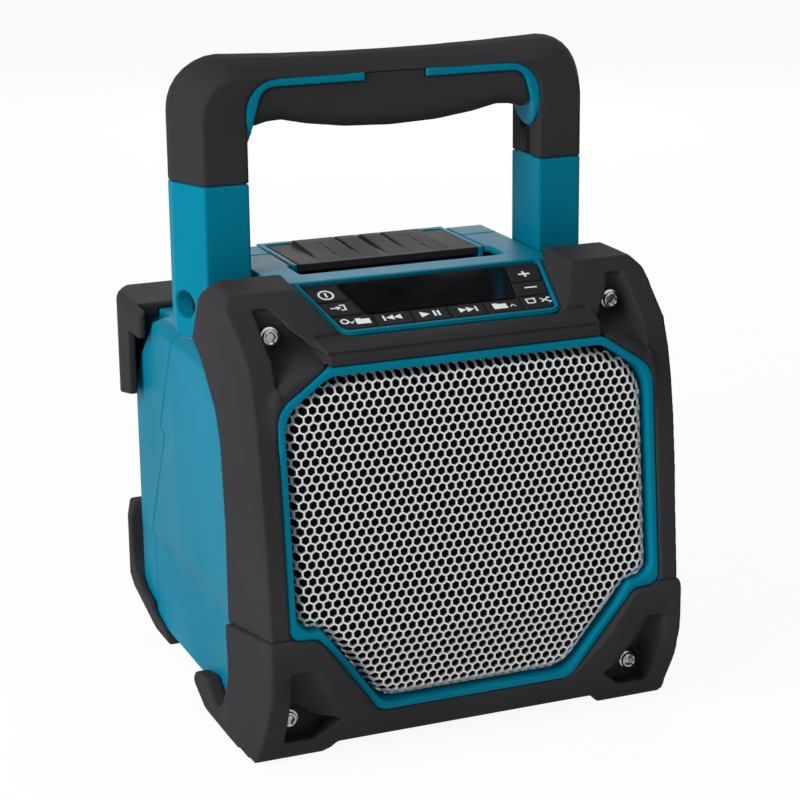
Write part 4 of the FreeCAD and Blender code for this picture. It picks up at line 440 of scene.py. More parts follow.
def edge_distance(x, z):
    """Distance inwards from the outline of the trim: the least over its sides.

    The two sides of the step count as one, by the greater of them."""
    x = np.abs(x)
    right = [(0.0, TOP_Z)] + OUTLINE + [(0.0, OUTLINE[-1][1])]
    sides = []
    for (x1, z1), (x2, z2) in zip(right, right[1:]):
        length = math.hypot(x2 - x1, z2 - z1)
        sides.append(((x - x1) * (z2 - z1) - (z - z1) * (x2 - x1)) / length)
    top, slant, side, shelf, leg, sole = sides
    step = -soft_min(-shelf, -leg, SIDE_BLEND)
    least = soft_min(top, slant, SIDE_BLEND)
    least = soft_min(least, side, SIDE_BLEND)
    least = soft_min(least, step, STEP_BLEND)
    return soft_min(least, sole, SOLE_BLEND)


def sheet_depth(inside):
    """Depth of the perforated sheet: flat in the middle, turned down ever steeper to its edge."""
    share = np.clip((SHEET_INSET + TURN_WIDE - inside) / TURN_WIDE, 0.0, 1.0)
    return SHEET_SUNK + TURN_DEEP * share ** 2.2


def to_edge(x, z):
    """Moves points that fall outside the sheet back to its edge along the slope of the distance."""
    step = 0.05
    for _ in range(3):
        short = np.clip(SHEET_INSET - edge_distance(x, z), 0.0, None)
        gx = (edge_distance(x + step, z) - edge_distance(x - step, z)) / (2.0 * step)
        gz = (edge_distance(x, z + step) - edge_distance(x, z - step)) / (2.0 * step)
        size = np.maximum(np.hypot(gx, gz), 1e-6) ** 2
        x, z = x + gx / size * short, z + gz / size * short
    return x, z


def perforated_sheet():
    """Sheet with six-sided holes: every cell of a honeycomb is a band between its outline and its hole.

    Cell centres stand on rows HOLE_PITCH * 0.866 apart, every other row moved by half a pitch."""
    rows, columns = np.arange(*HOLE_ROWS), np.arange(*HOLE_COLUMNS)
    r, c = np.meshgrid(rows, columns, indexing="ij")
    cx = (c + 0.5 * (r % 2)).ravel() * HOLE_PITCH
    cz = FIRST_ROW_Z + r.ravel() * HOLE_PITCH * math.sqrt(3.0) / 2.0
    keep = edge_distance(cx, cz) > SHEET_INSET - EDGE_SLACK
    cx, cz = cx[keep], cz[keep]
    turn = np.radians(np.arange(6) * 60.0)
    outer, inner = HOLE_PITCH / math.sqrt(3.0), (HOLE_PITCH - HOLE_WEB) / math.sqrt(3.0)
    x = np.concatenate([cx[:, None] + outer * np.sin(turn), cx[:, None] + inner * np.sin(turn)], axis=1)
    z = np.concatenate([cz[:, None] + outer * np.cos(turn), cz[:, None] + inner * np.cos(turn)], axis=1)
    x, z = to_edge(x.ravel(), z.ravel())
    y = face_y(z) + sheet_depth(edge_distance(x, z))
    points = np.stack([x, y, z], axis=1)
    k = np.arange(6)
    cell = np.stack([k, (k + 1) % 6, 6 + (k + 1) % 6, 6 + k], axis=1)
    faces = (np.arange(len(cx))[:, None, None] * 12 + cell[None]).reshape(-1, 4)
    piece = build("grille_sheet", seated(points), faces, "speaker", ["grille"], smooth=False)
    work = bmesh.new()
    work.from_mesh(piece.data)
    bmesh.ops.remove_doubles(work, verts=work.verts, dist=MERGE_CELLS)
    bmesh.ops.dissolve_degenerate(work, edges=work.edges, dist=SHORT_EDGE)
    bmesh.ops.recalc_face_normals(work, faces=work.faces)
    if sum(f.normal.y for f in work.faces) > 0.0:
        bmesh.ops.reverse_faces(work, faces=work.faces)
    work.to_mesh(piece.data)
    work.free()
    wall = piece.modifiers.new("thickness", "SOLIDIFY")
    wall.thickness = SHEET_THICK * 0.001
    wall.offset = -1.0
    return piece


def dust_screen():
    """Thin black foam behind the sheet.

    Rings of the outline follow the sheet's turned edge, then run to the middle. Their depth is the sheet's
    own depth SCREEN_LAG nearer to the edge, plus SCREEN_BEHIND."""
    insets = SHEET_INSET + SCREEN_START + np.array(SCREEN_STEPS)
    rings = [ring_at(a, float(sheet_depth(a - SCREEN_LAG)) + SCREEN_BEHIND) for a in insets]
    edge = rings[-1]
    hub = np.array([0.0, 0.0, HUB_Z])
    middle_deep = SHEET_SUNK + SCREEN_BEHIND
    for share in (0.75, 0.5, 0.25):
        flat = hub + (edge - hub) * share
        flat[:, 1] = face_y(flat[:, 2]) + middle_deep
        rings.append(flat)
    count = len(edge)
    points = np.vstack(rings + [np.array([[0.0, float(face_y(np.array(HUB_Z))) + middle_deep, HUB_Z]])])
    faces = [tuple(f) for f in grid_faces(len(rings), count)]
    last = (len(rings) - 1) * count
    faces += [(last + i, last + (i + 1) % count, len(points) - 1) for i in range(count)]
    piece = build("dust_screen", seated(points), faces, "speaker")
    tidy_mesh(piece)
    wall = piece.modifiers.new("thickness", "SOLIDIFY")
    wall.thickness = SCREEN_THICK * 0.001
    return piece


# Printed marks on the keys, flat prisms laid on the crowns

def mark(name, outlines, body):
    """Printed mark: each outline of panel places becomes a flat prism INK_THICK high."""
    points, faces = [], []
    for outline in outlines:
        outline = np.asarray(outline, dtype=float)
        count, start = len(outline), len(points)
        for level in (INK_LEVEL - INK_THICK, INK_LEVEL):
            points += list(seated(on_panel(outline[:, 0], outline[:, 1], level)))
        faces += [tuple(start + count + np.arange(count)), tuple(start + np.arange(count)[::-1])]
        faces += [(start + i, start + (i + 1) % count, start + count + (i + 1) % count, start + count + i)
                  for i in range(count)]
    piece = build(name, points, faces, body, smooth=False)
    return tidy_mesh(piece, MERGE_INK)


def bar(x, u, wide, high, lean=0.0):
    """Four corners of a bar about its middle, turned by the lean in degrees."""
    corners = np.array([(-wide, -high), (wide, -high), (wide, high), (-wide, high)]) / 2.0
    c, s = math.cos(math.radians(lean)), math.sin(math.radians(lean))
    return corners @ np.array([[c, s], [-s, c]]) + np.array([x, u])


def triangle(x, u, wide, high):
    """Triangle that points to the right, or to the left with a width below zero."""
    return np.array([(x - wide / 2.0, u - high / 2.0), (x + wide / 2.0, u),
                     (x - wide / 2.0, u + high / 2.0)])


def ring_marks(x, u, outer, inner, count=28):
    """A ring cut in four-sided pieces between two circles."""
    a = np.linspace(0.0, 2.0 * math.pi, count + 1)
    rim = np.stack([np.cos(a), np.sin(a)], axis=1)
    middle = np.array([x, u])
    return [np.array([middle + rim[i] * inner, middle + rim[i] * outer, middle + rim[i + 1] * outer,
                      middle + rim[i + 1] * inner]) for i in range(count)]


def folder(x, u):
    """Small filing folder with a tab on its left."""
    return [np.array([(x - 3.3, u - 2.1), (x + 3.3, u - 2.1), (x + 3.3, u + 1.5), (x - 3.3, u + 1.5)]),
            np.array([(x - 3.3, u + 1.5), (x - 0.4, u + 1.5), (x - 0.9, u + 2.2), (x - 3.0, u + 2.2)])]


def chevron(x, u, wide, high, thick):
    """Two slanting bars that meet in a point, up for a height above zero."""
    outer = np.array([(x - wide / 2.0, u - high / 2.0), (x, u + high / 2.0),
                      (x + wide / 2.0, u - high / 2.0)])
    drop = np.array([0.0, -thick if high > 0.0 else thick])
    return [np.array([outer[0], outer[1], outer[1] + drop, outer[0] + drop]),
            np.array([outer[1], outer[2], outer[2] + drop, outer[1] + drop])]


def source_mark():
    """An arrow that runs into a bracket."""
    u = MIDDLE_KEYS_U
    return [bar(LEFT_KEYS_X, u, 3.2, 0.85), triangle(-45.6, u, 2.2, 3.0), bar(-42.9, u, 0.85, 4.4),
            bar(-44.0, u + 1.8, 2.2, 0.8), bar(-44.0, u - 1.8, 2.2, 0.8)]


def repeat_mark():
    """A loop with an arrow head, and two crossing lines with arrow heads."""
    loop = [bar(41.4, 12.2, 3.6, 0.7), bar(41.4, 9.0, 3.6, 0.7), bar(39.5, 10.6, 0.7, 3.9),
            bar(43.3, 10.6, 0.7, 2.2), triangle(43.6, 12.2, 1.6, 2.0)]
    cross = [bar(48.0, 10.5, 4.6, 0.7, 36.0), bar(46.9, 11.4, 2.0, 0.7, -36.0),
             bar(49.1, 9.6, 2.0, 0.7, -36.0), triangle(50.5, 12.0, 1.6, 1.9), triangle(50.5, 8.9, 1.6, 1.9)]
    return loop + cross


def key_marks():
    """All the printed marks, by key."""
    low = LOW_KEYS_U
    drawn = {
        "power": ring_marks(LEFT_KEYS_X, TOP_KEYS_U, 3.7, 2.75) + [bar(LEFT_KEYS_X, TOP_KEYS_U, STROKE, 3.4)],
        "source": source_mark(),
        "pair": (ring_marks(-46.9, 10.4, 1.95, 1.15, 20) + folder(-38.7, 9.6)
                 + chevron(-43.9, 9.0, 2.4, -1.5, 0.8)),
        "previous": [bar(-28.9, 9.8, STROKE, 3.9), triangle(-26.2, 9.8, -3.6, 3.8),
                     triangle(-22.6, 9.8, -3.6, 3.8)],
        "play": [triangle(-9.8, low, 4.4, 4.2), bar(-5.4, low, 1.05, 4.0), bar(-3.4, low, 1.05, 4.0)],
        "next": [triangle(8.1, low, 3.6, 3.8), triangle(11.7, low, 3.6, 3.8), bar(14.4, low, STROKE, 3.9)],
        "folder_up": folder(25.8, low) + chevron(31.8, 9.2, 2.6, 1.6, 0.8),
        "repeat": repeat_mark(),
        "minus": [bar(46.0, 21.1, 6.0, STROKE)],
        "plus": [bar(RIGHT_KEYS_X, 32.0, 5.6, 1.1), bar(RIGHT_KEYS_X, 33.4, 1.1, 1.7),
                 bar(RIGHT_KEYS_X, 30.6, 1.1, 1.7)],
    }
    return [mark("mark_" + key, shapes, "button_" + key) for key, shapes in drawn.items()]


# Screws

def screw_section():
    """Section of a flanged head, radius and height, from the socket floor outwards and down the shank."""
    bend = np.radians(np.linspace(90.0, 0.0, 6))
    lip = [(3.0 + 0.5 * math.cos(a), 1.75 + 0.5 * math.sin(a)) for a in bend]
    rim = [(4.2 + 0.4 * math.cos(a), 0.35 + 0.4 * math.sin(a)) for a in bend]
    socket = [(0.02, 0.75), (2.0, 0.75), (2.15, 0.85), (2.2, 2.05), (2.4, 2.25)]
    shank = [(4.6, 0.0), (1.6, 0.0), (1.6, -11.0), (0.02, -12.4)]
    return socket + lip + [(3.55, 0.85)] + rim + shank


def screw_heads(name, spots, facing, body, stands_for):
    """Flanged heads with a six-sided socket.

    The section turns about the axis; in the socket the radius is r cos 30 / cos(a mod 60 - 30), a hexagon."""
    a = np.linspace(0.0, 2.0 * math.pi, HEAD_AROUND, endpoint=False)
    six = math.cos(math.radians(30.0)) / np.cos(np.mod(a, math.radians(60.0)) - math.radians(30.0))
    rings = []
    for r, h in screw_section():
        reach = r * six * SOCKET_EASE if r < SOCKET_REACH else r * np.ones(HEAD_AROUND)
        rings.append(np.stack([reach * np.cos(a), reach * np.sin(a), np.full(HEAD_AROUND, h)], axis=1))
    shape = np.vstack(rings)
    faces = grid_faces(len(rings), HEAD_AROUND)
    points, all_faces = [], []
    for x, y, z in spots:
        all_faces.append(faces + len(points) * len(shape))
        points.append(np.stack([x + shape[:, 0], y + facing * shape[:, 2], z + shape[:, 1]], axis=1))
    piece = build(name, seated(np.vstack(points)), np.vstack(all_faces), body, stands_for)
    tidy_mesh(piece, MERGE_HEAD)
    piece.data.set_sharp_from_angle(angle=math.radians(35.0))
    return piece


# Shared shader groups

def new_group(name, inputs, outputs):
    """Empty shader group with named value inputs and outputs."""
    group = bpy.data.node_groups.new(name, "ShaderNodeTree")
    for label, kind, value in inputs:
        socket = group.interface.new_socket(name=label, in_out="INPUT", socket_type=kind)
        socket.default_value = value
    for label, kind in outputs:
        group.interface.new_socket(name=label, in_out="OUTPUT", socket_type=kind)
    return group, group.nodes.new("NodeGroupInput"), group.nodes.new("NodeGroupOutput")


def add(tree, kind, **values):
    """New shader node; each value goes to the input of that name, or else to the setting of that name."""
    node = tree.nodes.new(kind)
    for key, value in values.items():
        if key in node.inputs.keys():
            node.inputs[key].default_value = value
        else:
            setattr(node, key, value)
    return node


def math_step(tree, operation, a, b=None):
    """One Math node; a and b are sockets or numbers."""
    node = add(tree, "ShaderNodeMath", operation=operation)
    for index, value in enumerate((a, b)):
        if value is None:
            continue
        if isinstance(value, (int, float)):
            node.inputs[index].default_value = value
        else:
            tree.links.new(value, node.inputs[index])
    return node.outputs[0]


def noise(tree, scale, detail=3.0, roughness=0.5, stretch=None):
    """Noise on object coordinates, in features per metre."""
    place = add(tree, "ShaderNodeTexCoord")
    source = place.outputs["Object"]
    if stretch:
        shift = add(tree, "ShaderNodeMapping")
        shift.inputs["Scale"].default_value = stretch
        tree.links.new(source, shift.inputs["Vector"])
        source = shift.outputs["Vector"]
    node = add(tree, "ShaderNodeTexNoise", Scale=scale, Detail=detail, Roughness=roughness)
    tree.links.new(source, node.inputs["Vector"])
    return node.outputs[0]


def grain_group():
    """Moulded grain: fine pits and a slow change of gloss over the surface."""
    group, entry, leave = new_group("moulded_grain", [("Pit Scale", "NodeSocketFloat", 2600.0)],
                                    [("Height", "NodeSocketFloat"), ("Gloss Change", "NodeSocketFloat"),
                                     ("Tone", "NodeSocketFloat")])
    place = add(group, "ShaderNodeTexCoord")
    pits = add(group, "ShaderNodeTexNoise", Detail=2.0, Roughness=0.6)
    group.links.new(place.outputs["Object"], pits.inputs["Vector"])
    group.links.new(entry.outputs["Pit Scale"], pits.inputs["Scale"])
    cells = add(group, "ShaderNodeTexVoronoi")
    half_scale = math_step(group, "MULTIPLY", entry.outputs["Pit Scale"], 0.55)
    group.links.new(place.outputs["Object"], cells.inputs["Vector"])
    group.links.new(half_scale, cells.inputs["Scale"])
    height = math_step(group, "ADD", math_step(group, "MULTIPLY", pits.outputs[0], 0.6),
                       math_step(group, "MULTIPLY", cells.outputs["Distance"], 0.5))
    group.links.new(height, leave.inputs["Height"])
    slow = noise(group, 28.0, 4.0)
    group.links.new(slow, leave.inputs["Gloss Change"])
    group.links.new(noise(group, 9.0, 2.0), leave.inputs["Tone"])
    return group


def edge_group():
    """Rounded edge normal and a mask strongest along convex edges, broken up by noise: paler edges, partly
    wear and partly painted highlight.
    """
    group, entry, leave = new_group("worn_edge", [("Radius", "NodeSocketFloat", 0.0006)],
                                    [("Normal", "NodeSocketVector"), ("Wear", "NodeSocketFloat")])
    rounded = add(group, "ShaderNodeBevel", samples=4)
    group.links.new(entry.outputs["Radius"], rounded.inputs["Radius"])
    plain = add(group, "ShaderNodeNewGeometry")
    dot = add(group, "ShaderNodeVectorMath", operation="DOT_PRODUCT")
    group.links.new(rounded.outputs["Normal"], dot.inputs[0])
    group.links.new(plain.outputs["Normal"], dot.inputs[1])
    mask = math_step(group, "MULTIPLY", math_step(group, "SUBTRACT", 1.0, dot.outputs["Value"]), 2.2)
    broken = math_step(group, "MULTIPLY", mask, noise(group, 260.0, 3.0))
    clamped = math_step(group, "MINIMUM", math_step(group, "MAXIMUM", broken, 0.0), 1.0)
    group.links.new(rounded.outputs["Normal"], leave.inputs["Normal"])
    group.links.new(clamped, leave.inputs["Wear"])
    return group


GRAIN = grain_group()
EDGE = edge_group()


# Materials

def material(name):
    """New material with its tree and its main shader."""
    made = bpy.data.materials.new(name)
    made.use_nodes = True
    return made, made.node_tree, made.node_tree.nodes["Principled BSDF"]


def mixed(tree, factor, one, two):
    """Colour mixed between two colours or sockets by a factor socket."""
    node = add(tree, "ShaderNodeMix", data_type="RGBA")
    tree.links.new(factor, node.inputs["Factor"])
    for index, value in ((6, one), (7, two)):
        if isinstance(value, tuple):
            node.inputs[index].default_value = value + (1.0,)
        else:
            tree.links.new(value, node.inputs[index])
    return node.outputs[2]


def ramp(tree, source, low, high, from_low=0.0, from_high=1.0):
    """Value carried from one range to another."""
    node = add(tree, "ShaderNodeMapRange")
    tree.links.new(source, node.inputs["Value"])
    node.inputs["From Min"].default_value = from_low
    node.inputs["From Max"].default_value = from_high
    node.inputs["To Min"].default_value = low
    node.inputs["To Max"].default_value = high
    return node.outputs["Result"]


def moulded(name, dark, light, edge_wear_and_highlight, gloss, pits, depth, radius=0.0005, specular=0.5):
    """Moulded plastic or rubber: two close tones, paler edges (partly wear, partly painted highlight), fine
    pits and uneven gloss.
    """
    made, tree, shader = material(name)
    grain = add(tree, "ShaderNodeGroup", node_tree=GRAIN)
    grain.inputs["Pit Scale"].default_value = pits
    edge = add(tree, "ShaderNodeGroup", node_tree=EDGE)
    edge.inputs["Radius"].default_value = radius
    base = mixed(tree, ramp(tree, grain.outputs["Tone"], 0.0, 1.0, 0.3, 0.7), dark, light)
    # Paler colour along convex edges: partly wear, partly painted highlight standing in for light caught by
    # the edges.
    colour = mixed(tree, edge.outputs["Wear"], base, edge_wear_and_highlight)
    tree.links.new(colour, shader.inputs["Base Color"])
    tree.links.new(ramp(tree, grain.outputs["Gloss Change"], gloss[0], gloss[1], 0.3, 0.7),
                   shader.inputs["Roughness"])
    bump = add(tree, "ShaderNodeBump", Strength=depth, Distance=0.0001)
    tree.links.new(grain.outputs["Height"], bump.inputs["Height"])
    tree.links.new(edge.outputs["Normal"], bump.inputs["Normal"])
    tree.links.new(bump.outputs["Normal"], shader.inputs["Normal"])
    shader.inputs["Specular IOR Level"].default_value = specular
    return made


def metal(name, colour, shade, gloss, scale, stretch, strength=0.2):
    """Bare or plated metal with fine drawn or cast marks."""
    made, tree, shader = material(name)
    marks = noise(tree, scale, 4.0, 0.6, stretch)
    base = mixed(tree, ramp(tree, marks, 0.0, 1.0, 0.3, 0.7), shade, colour)
    tree.links.new(base, shader.inputs["Base Color"])
    tree.links.new(ramp(tree, marks, gloss[0], gloss[1], 0.3, 0.7), shader.inputs["Roughness"])
    shader.inputs["Metallic"].default_value = 1.0
    bump = add(tree, "ShaderNodeBump", Strength=strength, Distance=0.0001)
    tree.links.new(marks, bump.inputs["Height"])
    tree.links.new(bump.outputs["Normal"], shader.inputs["Normal"])
    return made


def woven(name, dark, light, pitch, gloss=0.9):
    """Cloth or paper with a crossed pattern from two sets of waves."""
    made, tree, shader = material(name)
    place = add(tree, "ShaderNodeTexCoord")
    heights = []
    for direction in ("X", "Z"):
        wave = add(tree, "ShaderNodeTexWave", bands_direction=direction, Scale=pitch, Distortion=0.6)
        tree.links.new(place.outputs["Object"], wave.inputs["Vector"])
        heights.append(wave.outputs["Fac"])
    cross = math_step(tree, "MULTIPLY", heights[0], heights[1])
    tree.links.new(mixed(tree, cross, dark, light), shader.inputs["Base Color"])
    shader.inputs["Roughness"].default_value = gloss
    shader.inputs["Specular IOR Level"].default_value = 0.05
    bump = add(tree, "ShaderNodeBump", Strength=0.4, Distance=0.0002)
    tree.links.new(cross, bump.inputs["Height"])
    tree.links.new(bump.outputs["Normal"], shader.inputs["Normal"])
    return made


def gloss_window():
    """Dark gloss panel with the faintest smears under a clear coat."""
    made, tree, shader = material("display_gloss")
    smear = noise(tree, 60.0, 4.0, 0.6)
    base = mixed(tree, smear, (0.0032, 0.0034, 0.0042), (0.006, 0.0062, 0.0072))
    tree.links.new(base, shader.inputs["Base Color"])
    tree.links.new(ramp(tree, smear, 0.05, 0.14, 0.35, 0.7), shader.inputs["Roughness"])
    shader.inputs["Coat Weight"].default_value = 0.25
    shader.inputs["Coat Roughness"].default_value = 0.05
    return made


def painted_sheet():
    """Silver paint over steel: metallic flake, soft gloss, slightly darker in streaks."""
    made, tree, shader = material("grille_silver")
    flake = noise(tree, 2400.0, 2.0, 0.7)
    slow = noise(tree, 22.0, 3.0)
    base = mixed(tree, ramp(tree, flake, 0.0, 1.0, 0.35, 0.65), (0.54, 0.545, 0.55), (0.70, 0.705, 0.71))
    tree.links.new(base, shader.inputs["Base Color"])
    shader.inputs["Metallic"].default_value = 0.55
    tree.links.new(ramp(tree, slow, 0.38, 0.5, 0.3, 0.7), shader.inputs["Roughness"])
    bump = add(tree, "ShaderNodeBump", Strength=0.12, Distance=0.0001)
    tree.links.new(flake, bump.inputs["Height"])
    tree.links.new(bump.outputs["Normal"], shader.inputs["Normal"])
    return made


def print_white():
    """White printing with slightly uneven cover."""
    made, tree, shader = material("print_white")
    cover = noise(tree, 900.0, 3.0, 0.6)
    tree.links.new(mixed(tree, cover, (0.72, 0.73, 0.73), (0.86, 0.86, 0.86)), shader.inputs["Base Color"])
    shader.inputs["Roughness"].default_value = 0.55
    return made


def board_material():
    """Green circuit board: copper tracks show faintly through the lacquer."""
    made, tree, shader = material("board_green")
    place = add(tree, "ShaderNodeTexCoord")
    tracks = add(tree, "ShaderNodeTexBrick", Scale=160.0)
    tracks.inputs["Mortar Size"].default_value = 0.03
    tree.links.new(place.outputs["Object"], tracks.inputs["Vector"])
    tracks.inputs["Color1"].default_value = (0.010, 0.075, 0.028, 1.0)
    tracks.inputs["Color2"].default_value = (0.008, 0.062, 0.024, 1.0)
    tracks.inputs["Mortar"].default_value = (0.045, 0.14, 0.04, 1.0)
    tree.links.new(tracks.outputs["Color"], shader.inputs["Base Color"])
    shader.inputs["Roughness"].default_value = 0.35
    return made


# The third colour of each moulded finish is its edge colour: partly wear, partly painted highlight.
TEAL = moulded("housing_teal", (0.0, 0.150, 0.235), (0.0, 0.172, 0.268), (0.0, 0.20, 0.30),
               (0.40, 0.52), 3000.0, 0.10, 0.0006, 0.03)
RUBBER = moulded("elastomer_black", (0.024, 0.024, 0.025), (0.033, 0.033, 0.035), (0.085, 0.085, 0.085),
                 (0.66, 0.8), 2200.0, 0.22, 0.0009, 0.03)
PLASTIC = moulded("plastic_black", (0.016, 0.016, 0.017), (0.022, 0.022, 0.024), (0.06, 0.06, 0.06),
                  (0.5, 0.62), 2800.0, 0.14, 0.0005, 0.03)
PARTS = moulded("parts_mixed", (0.02, 0.02, 0.022), (0.05, 0.05, 0.055), (0.2, 0.2, 0.2),
                (0.3, 0.5), 1500.0, 0.05)
NYLON = moulded("washer_nylon", (0.60, 0.58, 0.52), (0.68, 0.66, 0.60), (0.8, 0.8, 0.78),
                (0.4, 0.5), 2500.0, 0.08)
FOAM = woven("screen_foam", (0.004, 0.004, 0.004), (0.012, 0.012, 0.012), 260.0)
SILVER = painted_sheet()
INK = print_white()
FINISH = {
    "housing_teal": TEAL,
    "elastomer_black": RUBBER,
    "plastic_black": PLASTIC,
    "parts_mixed": PARTS,
    "washer_nylon": NYLON,
    "grille_silver": SILVER,
    "display_gloss": gloss_window(),
    "screw_steel": metal("screw_steel", (0.42, 0.42, 0.42), (0.28, 0.28, 0.28), (0.12, 0.24), 900.0, None),
    "pin_steel": metal("pin_steel", (0.12, 0.12, 0.125), (0.07, 0.07, 0.075), (0.34, 0.48), 700.0,
                       (0.1, 1.0, 1.0)),
    "basket_steel": metal("basket_steel", (0.22, 0.22, 0.22), (0.14, 0.14, 0.14), (0.4, 0.55), 500.0, None),
    "cone_paper": woven("cone_paper", (0.012, 0.012, 0.012), (0.035, 0.034, 0.032), 180.0),
    "spider_cloth": woven("spider_cloth", (0.35, 0.20, 0.06), (0.52, 0.32, 0.12), 320.0),
    "coil_copper": metal("coil_copper", (0.72, 0.33, 0.16), (0.50, 0.20, 0.09), (0.25, 0.4), 1200.0,
                         (1.0, 8.0, 1.0)),
    "magnet_ferrite": moulded("magnet_ferrite", (0.03, 0.03, 0.032), (0.05, 0.05, 0.052), (0.12, 0.12, 0.12),
                              (0.5, 0.7), 1200.0, 0.3),
    "dome_silk": woven("dome_silk", (0.01, 0.01, 0.01), (0.03, 0.03, 0.032), 420.0, 0.7),
    "board_green": board_material(),
    "sink_aluminium": metal("sink_aluminium", (0.66, 0.67, 0.68), (0.52, 0.53, 0.54), (0.3, 0.45), 600.0,
                            (1.0, 1.0, 0.08)),
    "blade_brass": metal("blade_brass", (0.72, 0.52, 0.22), (0.56, 0.38, 0.14), (0.22, 0.36), 800.0,
                         (1.0, 0.1, 1.0)),
}


# Pieces

trim = trim_ring()
sheet = perforated_sheet()
screen = dust_screen()
marks = key_marks()
front_spots = [(s * x, y, z) for x, y, z in FRONT_SCREWS for s in (1, -1)]
front_heads = screw_heads("front_screw_heads", front_spots, -1.0, "speaker", ["front_screws"])
rear_spots = [(s * x, y, z) for x, y, z in REAR_SCREWS for s in (1, -1)]
rear_heads = screw_heads("rear_screw_heads", rear_spots, 1.0, "speaker", ["rear_screws"])

# Moulded pieces as voxel size in millimetres, melting passes, share of faces kept and any warp
MOULDED = {
    "front_arch_bumper": (0.7, 2, 0.22, arch_shape),
    "front_foot_bumper": (0.8, 2, 0.22, foot_shape),
    "upper_rear_bumper_left": (0.8, 2, 0.3),
    "upper_rear_bumper_right": (0.8, 2, 0.3),
    "lower_rear_bumper_left": (0.8, 2, 0.3),
    "lower_rear_bumper_right": (0.8, 2, 0.3),
    "handle_outer_shell": (0.8, 2, 0.3),
    "handle_palm_grip": (0.8, 3, 0.4),
    "handle_core": (0.6, 1, 0.25, core_shape),
    "front_housing": (0.9, 1, 0.2),
    "rear_housing": (0.9, 1, 0.2),
    "battery_door": (0.8, 1, 0.3),
    "battery_locker": (0.5, 1, 0.4),
}
moulded_pieces = [softened(node, *how) for node, how in MOULDED.items()]


def finish_all():
    """Gives every shown piece the material of its slot."""
    for name, node in nodes.items():
        node.data.materials.clear()
        node.data.materials.append(FINISH[SLOTS[name]])
        for polygon in node.data.polygons:
            polygon.material_index = 0
    for piece in moulded_pieces:
        piece.data.materials.clear()
        piece.data.materials.append(FINISH[SLOTS[piece.name.replace("_moulded", "")]])
    trim.data.materials.append(TEAL)
    sheet.data.materials.append(SILVER)
    screen.data.materials.append(FOAM)
    for piece in marks:
        piece.data.materials.append(INK)
    for piece in (front_heads, rear_heads):
        piece.data.materials.append(FINISH["screw_steel"])


finish_all()


# Floor, light and camera

def floor():
    """Large pale plane: nearly white to the camera and in gloss, with the rest left for a soft shadow."""
    half = FLOOR_HALF
    points = [(-half, -half, 0.0), (half, -half, 0.0), (half, half, 0.0), (-half, half, 0.0)]
    mesh = bpy.data.meshes.new("floor")
    mesh.from_pydata(points, [], [(0, 1, 2, 3)])
    plane = bpy.data.objects.new("floor", mesh)
    bpy.context.scene.collection.objects.link(plane)
    made = bpy.data.materials.new("floor_paper")
    made.use_nodes = True
    tree = made.node_tree
    shader = tree.nodes["Principled BSDF"]
    shader.inputs["Base Color"].default_value = (FLOOR_TONE, FLOOR_TONE, FLOOR_TONE, 1.0)
    shader.inputs["Roughness"].default_value = 0.9
    glow = add(tree, "ShaderNodeEmission", Strength=1.0)
    glow.inputs["Color"].default_value = (1.0, 1.0, 1.0, 1.0)
    mix = add(tree, "ShaderNodeMixShader")
    tree.links.new(seen_ray(tree, FLOOR_WHITE), mix.inputs[0])
    tree.links.new(shader.outputs[0], mix.inputs[1])
    tree.links.new(glow.outputs[0], mix.inputs[2])
    tree.links.new(mix.outputs[0], tree.nodes["Material Output"].inputs["Surface"])
    mesh.materials.append(made)
    return plane


def seen_ray(tree, share):
    """Share of white for rays from the camera, from gloss and through glass."""
    path = add(tree, "ShaderNodeLightPath")
    seen = math_step(tree, "MAXIMUM", path.outputs["Is Camera Ray"], path.outputs["Is Glossy Ray"])
    seen = math_step(tree, "MAXIMUM", seen, path.outputs["Is Transmission Ray"])
    return math_step(tree, "MULTIPLY", seen, share)


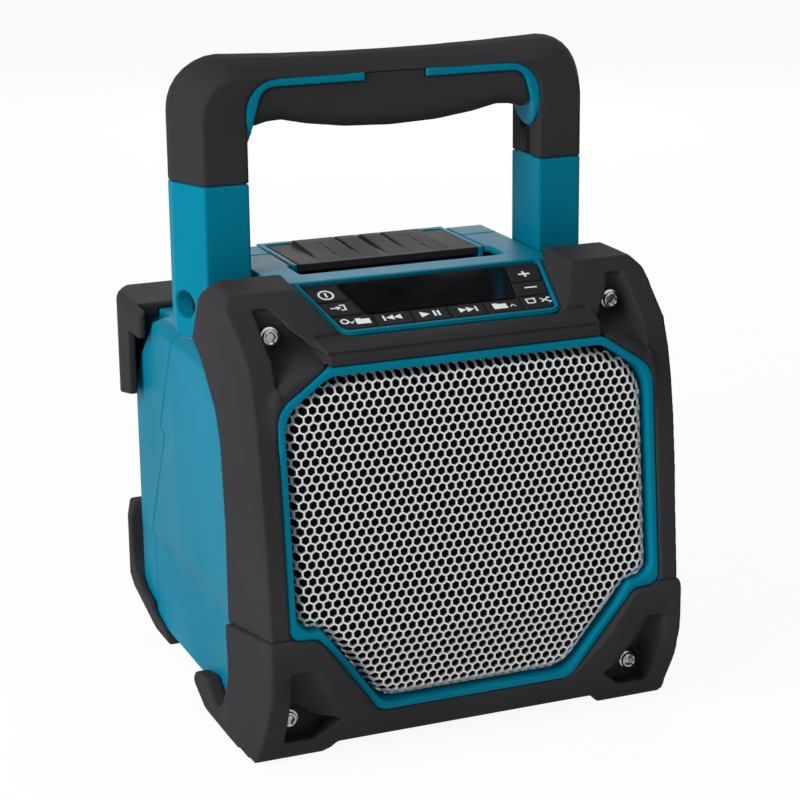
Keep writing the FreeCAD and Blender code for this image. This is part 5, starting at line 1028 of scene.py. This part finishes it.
def sky():
    """Even surround: white to the camera, in gloss and through glass, and SKY_LIGHT strong as a light."""
    world = bpy.data.worlds.new("studio")
    bpy.context.scene.world = world
    world.use_nodes = True
    tree = world.node_tree
    back = tree.nodes["Background"]
    back.inputs["Color"].default_value = (1.0, 1.0, 1.0, 1.0)
    shown = math_step(tree, "MULTIPLY", seen_ray(tree, 1.0), 1.0 - SKY_LIGHT)
    strength = math_step(tree, "ADD", shown, SKY_LIGHT)
    tree.links.new(strength, back.inputs["Strength"])
    return world


def lamp(name, place, aim, size, power):
    """Soft square lamp that looks at a point."""
    data = bpy.data.lights.new(name, "AREA")
    data.shape = "SQUARE"
    data.size = size
    data.energy = power
    piece = bpy.data.objects.new(name, data)
    bpy.context.scene.collection.objects.link(piece)
    back = np.array(place, dtype=float) - np.array(aim, dtype=float)
    back /= np.linalg.norm(back)
    right = np.cross((0.0, 0.0, 1.0), back)
    right /= np.linalg.norm(right)
    up = np.cross(back, right)
    turn = Matrix(np.column_stack([right, up, back]).tolist()).to_4x4()
    turn.translation = place
    piece.matrix_world = turn
    return piece


def camera():
    """Camera at the place and angle that were fitted to points read from the photograph."""
    turn, lift, roll = (math.radians(angle) for angle in (CAMERA_TURN, CAMERA_LIFT, CAMERA_ROLL))
    right = np.array([math.cos(turn), math.sin(turn), 0.0])
    back = np.array([math.sin(turn) * math.cos(lift), -math.cos(turn) * math.cos(lift), math.sin(lift)])
    up = np.cross(back, right)
    c, s = math.cos(roll), math.sin(roll)
    rolled_right, rolled_up = c * right + s * up, c * up - s * right
    data = bpy.data.cameras.new("camera")
    data.lens = CAMERA_LENS
    data.sensor_width = SENSOR_WIDE
    data.clip_start = 0.05
    data.clip_end = 200.0
    piece = bpy.data.objects.new("camera", data)
    bpy.context.scene.collection.objects.link(piece)
    place = Matrix(np.column_stack([rolled_right, rolled_up, back]).tolist()).to_4x4()
    place.translation = CAMERA_PLACE
    piece.matrix_world = place
    bpy.context.scene.camera = piece
    return piece


floor()
sky()
for lamp_name, (lamp_place, lamp_size, watts) in LAMPS.items():
    lamp(lamp_name, lamp_place, AIM, lamp_size, watts)
camera()
bpy.context.scene.view_settings.view_transform = "Standard"
